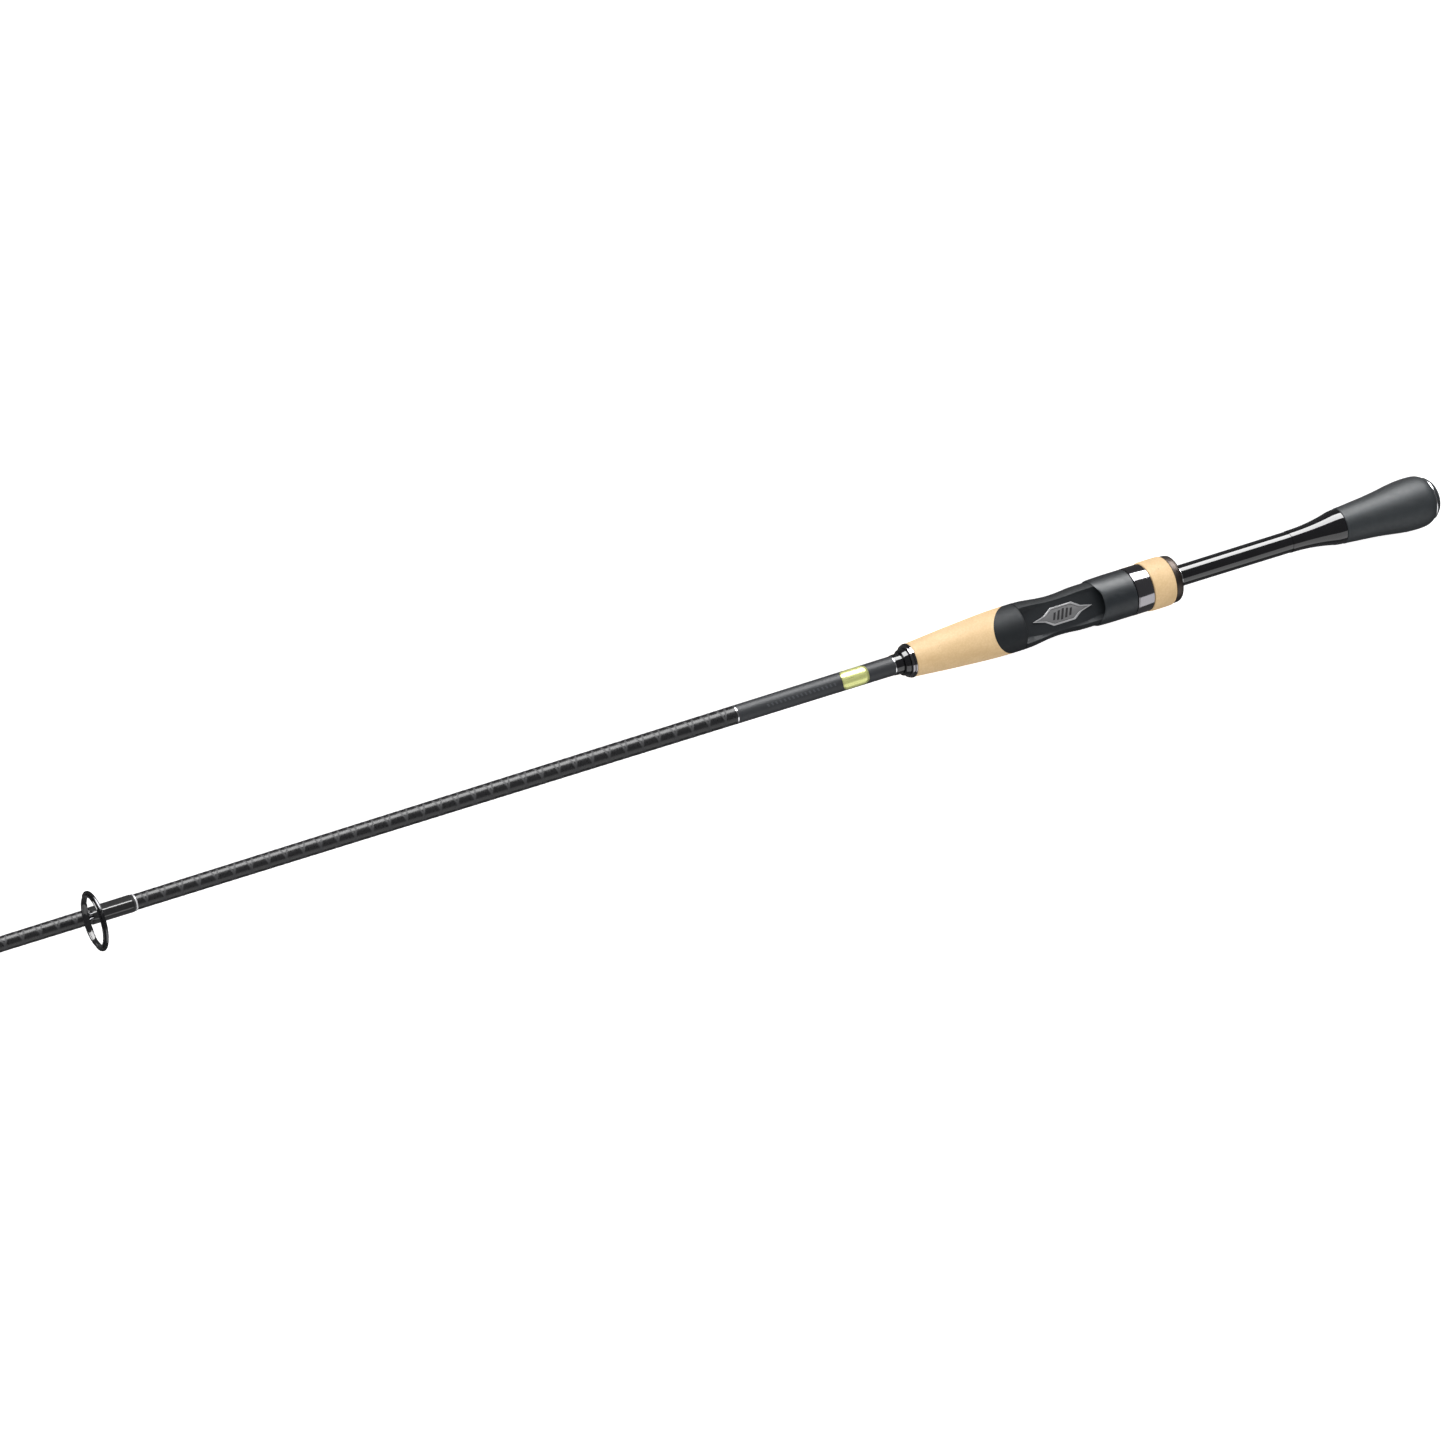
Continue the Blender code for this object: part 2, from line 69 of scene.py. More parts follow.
def span(node):
    """A turned CAD node's first station, last station and largest radius."""
    low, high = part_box(node)
    radius = (high.z - low.z) / 2.0 / math.cos(math.pi / 28)
    return (low.x - BUTT_END) / MM, (high.x - BUTT_END) / MM, radius / MM


SIDES = 96
HOOD_SIDES = 120
SLIM_SIDES = 64
BLANK_SIDES = 48
WIRE_SIDES = 14
WRAP_SIDES = 60
SEAT_SHARP = 32.0  # edges of the seat that turn more than this many degrees stay sharp

# bores of the ring-shaped pieces, which clear what runs through them
SPIGOT_BORE = 8.85
GRIP_BORE = 6.42
CHECK_BORE = 6.5
NUT_BORE = 11.12
HOOD_BORE = 12.35
SEAT_BORE = 5.95
FORE_GRIP_BORE = 5.9
RING_BORE = 5.56

# the blanks: outer radius at stations, straight tapers between them
BUTT_BLANK = [(5.0, 6.30), (170.0, 6.08), (352.0, 5.38), (1100.0, 3.58)]
TIP_BLANK = [(1035.0, 4.64), (1100.0, 4.42), (2124.0, 0.90)]
BLANK_WALL = 1.0
WOVEN_WALL = 0.5
WEAVE_START = 451.0  # the cross-wound finish runs from here to the tip
WEAVE_PITCH = 10.2
WEAVE_TURN = 0.26  # where the tapes cross, in radians from the guides' side
WEAVE_HEIGHT = 0.075
TAPE_SHARE = 0.12  # a tape's half-width, as a share of the pitch
BARS_START, BARS_END = 390.0, 434.0  # the slanted bars on the printed blank
BARS_REACH = 0.16  # in radians from the guides' side
LABEL_START, LABEL_END = 369.4, 385.9
LABEL_MIDDLE, LABEL_REACH = math.radians(-8.0), math.radians(72.0)
LABEL_CORNER = 4.2

# the reel seat
LIP = 273.4
SEAT_START = 189.6
SEAT_END = 278.0
TONGUE_SLOPE = 1.19
BED_STATION = 248.0
BADGE_STATION = 247.3
BED_HEIGHT = 7.3
HOOD_RADIUS = 13.15
THREAD_END = 214.1  # the plain barrel under the nut ends here
THREAD_RADIUS = 9.5
MOUTH_SET_BACK = 2.3  # how far the moving hood's mouth is set back over the foot
BED_HALF = 8.35
POCKET_END = 283.0
POCKET_ROOF = 12.1
POCKET_HALF = 7.9
BADGE_PROUD = 0.3
BAR_PITCH = 2.6
BAR_LEAN = 0.4
SEAT_PROFILE = [
    (211.0, 12.2), (222.0, 12.2), (231.0, 12.2), (236.5, 12.05), (243.0, 11.5), (249.5, 11.28),
    (256.0, 11.62), (262.0, 12.35), (268.0, 12.95), (LIP, HOOD_RADIUS), (279.0, HOOD_RADIUS),
]

# each guide: the ring's station, its frame's outer radius, and its centre's height above the axis
GUIDES = [
    (848.0, 16.25, 34.4), (1152.0, 10.8, 25.0), (1365.0, 7.2, 16.5), (1540.0, 5.2, 11.6),
    (1690.0, 3.9, 8.6), (1820.0, 3.6, 7.6), (1932.0, 3.5, 7.0), (2034.0, 3.4, 6.4),
]
GUIDE_LEAN = 0.058  # how far a ring leans towards the tip, per unit of height
TIP_TOP = (2131.0, 3.4, 3.8)
TIP_TUBE = (2112.0, 2126.0, 1.5)
WRAP_ROOM = 0.12
WRAP_THICKNESS = 0.35
WRAP_STEP = 3.0

# the camera: a long lens on the tip's side, square to the guides
LENS = 214.3
AIM_STATION = 458.9
AIM_LIFT = 0.00197
DISTANCE = 4.6135
VIEW_LEAN = math.radians(25.0)
ROD_ROLL = math.radians(5.2)
FRAME_ROLL = math.radians(17.362)


# ---- geometry helpers


def place(station, y, height):
    """A point in metres, from its station, its side offset and its height above the rod's axis."""
    return Vector((BUTT_END + station * MM, y * MM, AXIS_HEIGHT + height * MM))


def taper(points, station):
    """The radius at a station, on straight tapers between (station, radius) points."""
    for (start, first), (end, last) in zip(points, points[1:]):
        if station <= end:
            return first + (last - first) * (station - start) / (end - start)
    return points[-1][1]


def around(radius, turn):
    """The y and height of a point at a radius, at a turn from straight up towards y."""
    return radius * math.sin(turn), radius * math.cos(turn)


def ring_turns(sides, offset=0.5):
    return [(i + offset) * math.tau / sides for i in range(sides)]


def ease(low, high, value):
    """0 below low, 1 above high, and a smooth step between."""
    t = min(max((value - low) / (high - low), 0.0), 1.0)
    return t * t * (3.0 - 2.0 * t)


def flowing(points, steps=6):
    """A smooth curve through (station, radius) points that never overshoots them."""
    grades = [(b[1] - a[1]) / (b[0] - a[0]) for a, b in zip(points, points[1:])]
    slopes = [grades[0]]
    for before, after in zip(grades, grades[1:]):
        slopes.append(0.0 if before * after <= 0 else 2 * before * after / (before + after))
    slopes.append(grades[-1])
    curve = []
    for i in range(len(points) - 1):
        (x0, r0), (x1, r1) = points[i], points[i + 1]
        width = x1 - x0
        for k in range(steps):
            t = k / steps
            value = r0 * (1 + 2 * t) * (1 - t) ** 2 + slopes[i] * width * t * (1 - t) ** 2
            value += r1 * t * t * (3 - 2 * t) + slopes[i + 1] * width * t * t * (t - 1)
            curve.append((x0 + width * t, value))
    return curve + [points[-1]]


def read_curve(curve, station):
    """The radius at a station on a fine curve, held before its start and past its end."""
    return taper(curve, max(station, curve[0][0]))


def softened(outline, cut=0.25, steps=3):
    """Rounds every sharp corner of an outline, leaving its smooth stretches as they are."""
    result = []
    for i, (x, r) in enumerate(outline):
        before = Vector(outline[i - 1]) - Vector((x, r))
        after = Vector(outline[(i + 1) % len(outline)]) - Vector((x, r))
        if before.length < 1e-6 or after.length < 1e-6:
            continue
        if r <= 0.0 or before.angle(-after) < math.radians(18.0):
            result.append((x, r))
            continue
        corner = Vector((x, r))
        entry = corner + before.normalized() * min(cut, before.length * 0.45)
        leave = corner + after.normalized() * min(cut, after.length * 0.45)
        for k in range(steps + 1):
            t = k / steps
            result.append(tuple(entry * (1 - t) ** 2 + corner * 2 * t * (1 - t) + leave * t * t))
    return result


def bridge(mesh_data, first, second):
    """Faces between two rings of vertices. A ring of one vertex makes a fan."""
    for i in range(max(len(first), len(second))):
        corners = [first[i % len(first)], first[(i + 1) % len(first)]]
        corners += [second[(i + 1) % len(second)], second[i % len(second)]]
        mesh_data.faces.new(list(dict.fromkeys(corners)))


def loft(rows, joined=False, capped=False):
    """A skin through rows of points in metres, joined end to end, capped at both ends, or open."""
    mesh_data = bmesh.new()
    rings = [[mesh_data.verts.new(point) for point in row] for row in rows]
    pairs = list(zip(rings, rings[1:]))
    if joined:
        pairs.append((rings[-1], rings[0]))
    for first, second in pairs:
        bridge(mesh_data, first, second)
    if capped:
        mesh_data.faces.new(rings[0])
        mesh_data.faces.new(rings[-1])
    return mesh_data


def new_object(name, mesh_data):
    """A mesh object in the scene, from a bmesh that is used up."""
    mesh = bpy.data.meshes.new(name)
    mesh_data.to_mesh(mesh)
    mesh_data.free()
    made = bpy.data.objects.new(name, mesh)
    bpy.context.scene.collection.objects.link(made)
    return made


def add_piece(name, mesh_data, look, body="butt_section", replaces=(), slot=None, sharp_over=38.0):
    """Turns a bmesh into a piece that rides on a body and stands for CAD nodes."""
    bmesh.ops.recalc_face_normals(mesh_data, faces=mesh_data.faces)
    piece = new_object(name, mesh_data)
    piece.data.shade_smooth()
    piece.data.set_sharp_from_angle(angle=math.radians(sharp_over))
    piece.data.materials.append(look)
    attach(piece, body)
    if replaces:
        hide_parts(*replaces)
    return piece


def ring_of(station, radius, sides):
    """A ring of points. A radius of 0 is a single point on the axis."""
    if radius <= 0.0:
        return [place(station, 0.0, 0.0)]
    return [place(station, *around(radius, turn)) for turn in ring_turns(sides)]


def turned(name, outline, look, sides=SIDES, closed=True, cut=0.25, **placing):
    """Turns an outline of (station, radius) points round the rod's axis, with its corners rounded.

    A closed outline makes a ring, and an open one starts and ends on the axis.
    """
    rows = [ring_of(station, radius, sides) for station, radius in softened(outline, cut)]
    return add_piece(name, loft(rows, joined=closed), look, **placing)


def tube(name, outer, inner, look, **settings):
    """A ring-shaped piece from its outer outline and its bore's, both running towards the tip."""
    return turned(name, outer + inner[::-1], look, **settings)


def sleeve(name, outer, bore, look, node, **settings):
    """A ring-shaped piece with a straight bore, which stands for a CAD node."""
    inner = [(outer[0][0], bore), (outer[-1][0], bore)]
    return tube(name, outer, inner, look, replaces=[node], **settings)


def polar(name, rows, look, **placing):
    """A closed piece from rows of (station, y, height) loops, whose last row meets its first."""
    skin = loft([[place(*point) for point in row] for row in rows], joined=True)
    return add_piece(name, skin, look, **placing)


def swept(name, points, radius, look, **placing):
    """A round wire along a list of points in metres, narrowed at its ends."""
    rows = []
    side = Vector((0.0, 0.0, 1.0))
    for i, point in enumerate(points):
        forward = points[min(i + 1, len(points) - 1)] - points[max(i - 1, 0)]
        forward.normalize()
        side = (side - forward * side.dot(forward)).normalized()
        across = forward.cross(side)
        size = radius * (0.55 if i in (0, len(points) - 1) else 1.0)
        row = []
        for turn in ring_turns(WIRE_SIDES, 0.0):
            row.append(point + (side * math.cos(turn) + across * math.sin(turn)) * size * MM)
        rows.append(row)
    return add_piece(name, loft(rows, capped=True), look, sharp_over=75.0, **placing)


# ---- materials


class Look:
    """A material under construction: its shader and shorthand for the nodes that feed it."""

    def __init__(self, name, colour, roughness, metallic=0.0, coat=0.0, coat_roughness=0.03):
        self.material = bpy.data.materials.new(name)
        self.material.use_nodes = True
        self.tree = self.material.node_tree
        self.shader = self.tree.nodes["Principled BSDF"]
        self.set("Base Color", (*colour, 1.0))
        self.set("Roughness", roughness)
        self.set("Metallic", metallic)
        self.set("Coat Weight", coat)
        self.set("Coat Roughness", coat_roughness)
        self.where = self.add("ShaderNodeTexCoord").outputs["Object"]

    def set(self, socket, value):
        self.shader.inputs[socket].default_value = value

    def add(self, kind, **values):
        """A new node, with its settings."""
        node = self.tree.nodes.new(kind)
        for key, value in values.items():
            setattr(node, key, value)
        return node

    def link(self, output, target):
        """Feeds an output, a number or a colour into a socket."""
        if isinstance(output, (int, float)):
            target.default_value = output
        elif isinstance(output, tuple):
            target.default_value = (*output, 1.0)
        else:
            self.tree.links.new(output, target)

    def math(self, operation, *inputs):
        node = self.add("ShaderNodeMath", operation=operation)
        for socket, value in zip(node.inputs, inputs):
            self.link(value, socket)
        return node.outputs[0]

    def parts(self):
        """The station in millimetres and the angle round the axis, from the guides' side."""
        split = self.add("ShaderNodeSeparateXYZ")
        self.link(self.where, split.inputs[0])
        station = self.math("MULTIPLY", self.math("SUBTRACT", split.outputs["X"], BUTT_END), 1000.0)
        height = self.math("SUBTRACT", split.outputs["Z"], AXIS_HEIGHT)
        return station, self.math("ARCTAN2", split.outputs["Y"], height)

    def stretched(self, x, y, z):
        """Object coordinates scaled per axis. A share below 1 draws a texture out along that axis."""
        node = self.add("ShaderNodeVectorMath", operation="MULTIPLY")
        self.link(self.where, node.inputs[0])
        node.inputs[1].default_value = (x, y, z)
        return node.outputs[0]

    def noise(self, size, detail=3.0, where=None, roughness=0.55):
        """Noise whose blotches are about size metres across."""
        node = self.add("ShaderNodeTexNoise")
        self.link(where or self.where, node.inputs["Vector"])
        node.inputs["Scale"].default_value = 1.0 / size
        node.inputs["Detail"].default_value = detail
        node.inputs["Roughness"].default_value = roughness
        return node.outputs["Fac"]

    def cells(self, size):
        node = self.add("ShaderNodeTexVoronoi")
        self.link(self.where, node.inputs["Vector"])
        node.inputs["Scale"].default_value = 1.0 / size
        return node.outputs["Distance"]

    def spread(self, value, low, high, from_low=0.0, from_high=1.0):
        """Maps a value from one range onto another, held at both ends."""
        node = self.add("ShaderNodeMapRange")
        for socket, number in zip(node.inputs[1:5], (from_low, from_high, low, high)):
            socket.default_value = number
        self.link(value, node.inputs["Value"])
        return node.outputs["Result"]

    def blend(self, share, first, second):
        node = self.add("ShaderNodeMix", data_type="RGBA")
        self.link(share, node.inputs["Factor"])
        for socket, value in zip([s for s in node.inputs if s.type == "RGBA"], (first, second)):
            self.link(value, socket)
        return [s for s in node.outputs if s.type == "RGBA"][0]

    def use(self, socket, output):
        self.tree.links.new(output, self.shader.inputs[socket])

    def paint(self, share, first, second):
        """Colours that run from the first to the second."""
        self.use("Base Color", self.blend(share, first, second))

    def gloss(self, value, low, high, from_low=0.3, from_high=0.7):
        """Roughness that runs from low to high."""
        self.use("Roughness", self.spread(value, low, high, from_low, from_high))

    def bump(self, height, depth, strength):
        """Adds relief: height runs from 0 to 1 over depth metres."""
        node = self.add("ShaderNodeBump")
        node.inputs["Strength"].default_value = strength
        node.inputs["Distance"].default_value = depth
        self.link(height, node.inputs["Height"])
        self.use("Normal", node.outputs["Normal"])


def shade(colour, factor):
    return tuple(c * factor for c in colour)


def soft_black(name, colour, roughness, grain=0.00035, specular=0.5):
    """Moulded plastic with a fine matt grain and faintly uneven gloss."""
    look = Look(name, colour, roughness)
    look.set("Specular IOR Level", specular)
    look.paint(look.noise(0.006, 2.0), shade(colour, 0.8), shade(colour, 1.25))
    look.gloss(look.noise(0.0025, 4.0), roughness - 0.05, roughness + 0.07)
    look.bump(look.noise(grain, 3.0), 0.00002, 0.6)
    return look.material


def gloss_black():
    """Deep black lacquer with a slight flow to its surface."""
    look = Look("gloss_black", (0.006, 0.006, 0.007), 0.05, coat=0.6)
    look.gloss(look.noise(0.004, 3.0), 0.04, 0.09)
    look.paint(look.noise(0.01), (0.004, 0.004, 0.005), (0.010, 0.010, 0.011))
    look.bump(look.noise(0.009, 1.0), 0.00002, 0.35)
    return look.material


def cork():
    """Fine pressed cork: tan grains, a few darker pores, and a dry matt skin."""
    look = Look("cork", (0.73, 0.51, 0.27), 0.62)
    drift = look.noise(0.012, 3.0, look.stretched(0.45, 1.0, 1.0))
    base = look.blend(look.spread(drift, 0.0, 1.0, 0.35, 0.65), (0.68, 0.47, 0.235), (0.77, 0.55, 0.295))
    grains = look.spread(look.cells(0.0011), 0.0, 1.0, 0.15, 0.75)
    base = look.blend(look.math("MULTIPLY", grains, 0.22), base, (0.56, 0.35, 0.16))
    pores = look.noise(0.0016, 4.0, look.stretched(0.5, 1.0, 1.0), 0.7)
    pores = look.spread(pores, 0.0, 1.0, 0.66, 0.74)
    base = look.blend(look.math("MULTIPLY", pores, 0.6), base, (0.30, 0.17, 0.075))
    look.use("Base Color", base)
    look.gloss(grains, 0.55, 0.72, 0.0, 1.0)
    relief = look.math("SUBTRACT", look.math("MULTIPLY", look.noise(0.0007, 3.0), 0.5), pores)
    look.bump(relief, 0.00009, 0.55)
    look.set("Specular IOR Level", 0.35)
    return look.material


def turned_metal(name, colour, roughness):
    """Polished metal with the faint rings that turning leaves."""
    look = Look(name, colour, roughness, metallic=1.0)
    rings = look.noise(0.00022, 2.0, look.stretched(1.0, 0.02, 0.02))
    look.gloss(rings, roughness * 0.7, roughness * 1.6)
    look.paint(look.noise(0.007, 2.0), shade(colour, 0.86), colour)
    look.bump(rings, 0.000004, 0.5)
    return look.material


def guide_metal():
    """Dark plated wire."""
    look = Look("guide_metal", (0.10, 0.10, 0.105), 0.22, metallic=1.0)
    look.gloss(look.noise(0.0012, 3.0), 0.14, 0.3)
    look.paint(look.noise(0.004), (0.08, 0.08, 0.085), (0.13, 0.13, 0.135))
    look.bump(look.noise(0.0005, 2.0), 0.00001, 0.4)
    return look.material


def ceramic():
    """Polished near-black ceramic."""
    look = Look("ceramic", (0.012, 0.012, 0.014), 0.08, coat=0.4)
    look.gloss(look.noise(0.002, 3.0), 0.05, 0.12)
    look.paint(look.noise(0.003), (0.009, 0.009, 0.01), (0.018, 0.018, 0.02))
    return look.material


def varnished_thread(name, colour, pitch):
    """Thread wound side by side under clear varnish. pitch is its thickness in millimetres."""
    look = Look(name, colour, 0.35, coat=1.0, coat_roughness=0.04)
    station, _ = look.parts()
    lines = look.math("SINE", look.math("MULTIPLY", station, math.tau / pitch))
    share = look.spread(lines, 0.0, 1.0, -1.0, 1.0)
    look.paint(share, shade(colour, 0.55), colour)
    look.gloss(look.noise(0.001), 0.3, 0.45, 0.0, 1.0)
    look.bump(share, 0.00003, 0.3)
    return look.material


def cross_wound():
    """Bare carbon under thin clear: two crossing winds of narrow tape over fine fibres."""
    look = Look("cross_wound", (0.03, 0.03, 0.032), 0.3, coat=0.08, coat_roughness=0.2)
    look.set("Specular IOR Level", 0.38)
    station, angle = look.parts()
    along = look.math("MULTIPLY", station, math.tau / WEAVE_PITCH)
    about = look.math("SUBTRACT", angle, WEAVE_TURN)
    tapes = [look.math("COSINE", look.math(op, along, about)) for op in ("ADD", "SUBTRACT")]
    edge = look.spread(look.math("MAXIMUM", *tapes), 0.0, 1.0, 0.9, 0.995)
    fibres = look.noise(0.0003, 2.0, look.stretched(0.06, 1.0, 1.0))
    base = look.blend(edge, (0.011, 0.011, 0.012), (0.036, 0.036, 0.039))
    base = look.blend(look.spread(fibres, 0.0, 0.5, 0.35, 0.65), base, (0.017, 0.017, 0.018))
    look.use("Base Color", base)
    uneven = look.spread(look.noise(0.0016, 4.0), 0.0, 0.1, 0.3, 0.7)
    look.use("Roughness", look.math("ADD", uneven, look.spread(edge, 0.24, 0.62)))
    look.bump(look.math("ADD", look.noise(0.0007, 3.0), fibres), 0.00002, 0.45)
    return look.material


def printed_grey():
    """Smooth dark paint with a row of slanted bars in the next shade, on the guides' side."""
    look = Look("printed_grey", (0.022, 0.024, 0.027), 0.4, coat=0.05, coat_roughness=0.25)
    look.set("Specular IOR Level", 0.3)
    station, angle = look.parts()
    slant = look.math("ADD", station, look.math("MULTIPLY", angle, 2.2))
    bars = look.math("SINE", look.math("MULTIPLY", slant, math.tau / 2.6))
    bars = look.spread(bars, 0.0, 1.0, 0.1, 0.35)
    inside = [
        look.math("GREATER_THAN", station, BARS_START),
        look.math("LESS_THAN", station, BARS_END),
        look.math("LESS_THAN", look.math("ABSOLUTE", angle), BARS_REACH),
    ]
    for limit in inside:
        bars = look.math("MULTIPLY", bars, limit)
    cloud = look.blend(look.noise(0.008), (0.021, 0.023, 0.026), (0.031, 0.033, 0.037))
    look.paint(look.math("MULTIPLY", bars, 0.6), cloud, (0.075, 0.08, 0.09))
    look.gloss(look.noise(0.002, 3.0), 0.42, 0.52)
    look.bump(look.noise(0.0008, 3.0), 0.00001, 0.5)
    return look.material


def label_foil():
    """Yellow-green metal foil with a fine brushed grain."""
    look = Look("label_foil", (0.70, 0.73, 0.28), 0.34, metallic=0.55)
    brushed = look.noise(0.0004, 3.0, look.stretched(0.08, 1.0, 1.0))
    look.paint(brushed, (0.60, 0.63, 0.21), (0.80, 0.83, 0.36))
    look.gloss(brushed, 0.22, 0.36, 0.0, 1.0)
    look.bump(brushed, 0.000006, 0.6)
    return look.material


def badge_metal(name, colour, roughness):
    """Die-cast metal with a dull satin grain."""
    look = Look(name, colour, roughness, metallic=0.35)
    grain = look.noise(0.0003, 4.0)
    look.paint(grain, shade(colour, 0.6), colour)
    look.gloss(grain, roughness - 0.08, roughness + 0.12, 0.0, 1.0)
    look.bump(grain, 0.00003, 0.5)
    return look.material


def floor_look():
    """Matt pale paper."""
    look = Look("pale_floor", (0.86, 0.86, 0.86), 0.9)
    look.paint(look.noise(0.4), (0.85, 0.85, 0.85), (0.87, 0.87, 0.87))
    look.set("Specular IOR Level", 0.1)
    look.set("Emission Color", (1.0, 1.0, 1.0, 1.0))
    look.set("Emission Strength", 0.6)
    return look.material


SOFT_BLACK = soft_black("soft_black", (0.016, 0.020, 0.023), 0.52)
SEAT_BLACK = soft_black("seat_black", (0.009, 0.011, 0.013), 0.58, 0.0005, 0.24)
HOOD_BLACK = soft_black("hood_black", (0.009, 0.012, 0.015), 0.44, 0.0005)
GLOSS_BLACK = gloss_black()
CORK = cork()
DARK_CHROME = turned_metal("dark_chrome", (0.34, 0.33, 0.35), 0.08)
SILVER = turned_metal("silver", (0.78, 0.78, 0.80), 0.18)
GUNMETAL = turned_metal("gunmetal", (0.075, 0.062, 0.056), 0.38)
GUIDE_METAL = guide_metal()
CERAMIC = ceramic()
BLACK_THREAD = varnished_thread("black_thread", (0.010, 0.010, 0.011), 0.23)
SILVER_THREAD = varnished_thread("silver_thread", (0.72, 0.72, 0.74), 0.3)
CROSS_WOUND = cross_wound()
PRINTED_GREY = printed_grey()
LABEL_FOIL = label_foil()
BADGE_LIGHT = badge_metal("badge_light", (0.46, 0.46, 0.47), 0.42)
BADGE_DARK = badge_metal("badge_dark", (0.20, 0.20, 0.205), 0.5)
BADGE_INK = badge_metal("badge_ink", (0.03, 0.03, 0.032), 0.5)


# ---- the rear handle


def rear_handle():
    """The end cap, the polished ring, the swelling grip and its flare."""
    _, cap_edge, _ = span("butt_cap")
    ring_start, ring_end, ring_radius = span("butt_trim_ring")
    grip_start, grip_end, _ = span("rear_grip")
    flare_start, flare_end, _ = span("grip_flare")

    # The ring sits just inside the edges of the cap and the grip, so a dark line runs round it.
    ring_start += 0.65
    ring_end = grip_start - 0.15
    ring_radius -= 0.25
    cap = [(0.35, 0.0), (0.35, 6.0), (0.0, 6.6), (0.0, 8.4), (0.6, 9.6), (1.2, 10.25), (2.0, 10.95)]
    cap += [(2.8, 11.65), (ring_start - 0.25, ring_radius), (ring_start - 0.1, ring_radius - 0.05)]
    cap += [(ring_start - 0.1, 8.6), (cap_edge, 8.6), (cap_edge, 0.0)]
    turned(
        "butt_cap_skin", cap, SOFT_BLACK, closed=False, cut=0.35,
        replaces=["butt_cap"], slot="matte_black",
    )

    hoop = [(ring_start, ring_radius - 0.15), (ring_start + 0.3, ring_radius)]
    hoop += [(ring_end - 0.3, ring_radius), (ring_end, ring_radius - 0.1)]
    sleeve("butt_trim_hoop", hoop, SPIGOT_BORE - 0.03, SILVER, "butt_trim_ring", slot="silver")

    swell = flowing([
        (grip_start - 0.05, ring_radius + 0.25), (5.4, 12.95), (6.6, 13.65), (8.2, 14.28), (10.8, 14.7),
        (14.5, 14.8), (20.0, 14.6), (26.0, 13.95), (34.0, 12.8), (43.0, 11.75), (53.0, 10.92),
        (59.5, 10.38), (grip_end - 1.2, 10.30),
    ])
    swell += [(grip_end - 0.5, 10.28), (grip_end, 9.9)]
    spigot_end = 8.3
    bore = [(grip_start - 0.05, SPIGOT_BORE), (spigot_end, SPIGOT_BORE)]
    bore += [(spigot_end, GRIP_BORE), (grip_end, GRIP_BORE)]
    tube("rear_grip_skin", swell, bore, SOFT_BLACK, replaces=["rear_grip"], slot="matte_black")

    shoulder = 67.6
    flare = flowing([(flare_start, 10.05), (64.4, 9.92), (66.2, 9.72), (shoulder, 9.5)], 3)[:-1]
    for i in range(25):
        t = i / 24
        flare.append((shoulder + (flare_end - shoulder) * t, 6.27 + 3.23 * (1.0 - t) ** 2.1))
    bore = [(flare_start, 6.34), (flare_end, 6.24)]
    tube(
        "grip_flare_skin", flare, bore, GLOSS_BLACK, cut=0.12,
        replaces=["grip_flare"], slot="gloss_black",
    )


# ---- the nut and the moving hood


def lock_nut():
    """The nut's rear ring, its cork grip and its grooved front band."""
    metal = {"body": "lock_nut", "slot": "dark_chrome"}
    start, end, radius = span("nut_rear_check")
    outer = [(start, 12.7), (start + 0.3, 13.0), (start + 1.2, radius - 0.1), (start + 2.0, radius)]
    outer += [(end - 0.3, radius), (end, radius - 0.25)]
    sleeve("nut_check_skin", outer, CHECK_BORE, GUNMETAL, "nut_rear_check", **metal)
    start, end, radius = span("nut_cork_ring")
    crown = flowing([
        (start, radius - 0.6), (start + 0.35, radius - 0.28), (start + 1.2, radius - 0.08),
        ((start + end) / 2, radius), (end - 1.2, radius - 0.08), (end - 0.35, radius - 0.28),
        (end, radius - 0.6),
    ], 4)
    sleeve("nut_cork_skin", crown, NUT_BORE, CORK, "nut_cork_ring", body="lock_nut", slot="cork")
    start, end, radius = span("nut_metal_band")
    groove = radius - 0.18
    outer = [(start, radius - 0.2), (start + 0.25, radius), (end - 0.9, radius), (end - 0.75, groove)]
    outer += [(end - 0.55, groove), (end - 0.4, radius), (end - 0.2, radius), (end, radius - 0.2)]
    sleeve("nut_band_skin", outer, NUT_BORE, DARK_CHROME, "nut_metal_band", cut=0.08, **metal)


def moving_hood():
    """The sliding hood. Its mouth is set back in the middle, over the reel's foot."""
    start, mouth, radius = span("moving_hood")
    profile = [(start, radius - 0.25), (start + 0.4, radius)]
    profile += flowing([(start + 1.0, radius), (214.0, radius - 0.02), (219.0, radius - 0.12)], 5)
    profile += [(mouth - 1.2, radius - 0.26), (mouth - 0.6, radius - 0.4)]
    profile += [(mouth - 0.2, radius - 0.62), (mouth, radius - 0.82)]
    profile += [(mouth - 0.15, HOOD_BORE + 0.07), (mouth - 0.6, HOOD_BORE), (start, HOOD_BORE)]
    rows = []
    for station, at in softened(profile, 0.12):
        share = max(station - start, 0.0) / (mouth - start)
        row = []
        for turn in ring_turns(HOOD_SIDES):
            forward = MOUTH_SET_BACK * ease(0.25, 0.95, abs(math.sin(turn))) * share**3
            row.append((station + forward, *around(at, turn)))
        rows.append(row)
    placing = {"body": "moving_hood", "slot": "matte_black"}
    polar("moving_hood_skin", rows, HOOD_BLACK, replaces=["moving_hood"], **placing)


# ---- the reel seat


def smooth_min(a, b, width):
    """The lesser of two radii, with the edge between them rounded over width."""
    share = max(width - abs(a - b), 0.0) / width
    return min(a, b) - share * share * width / 4.0


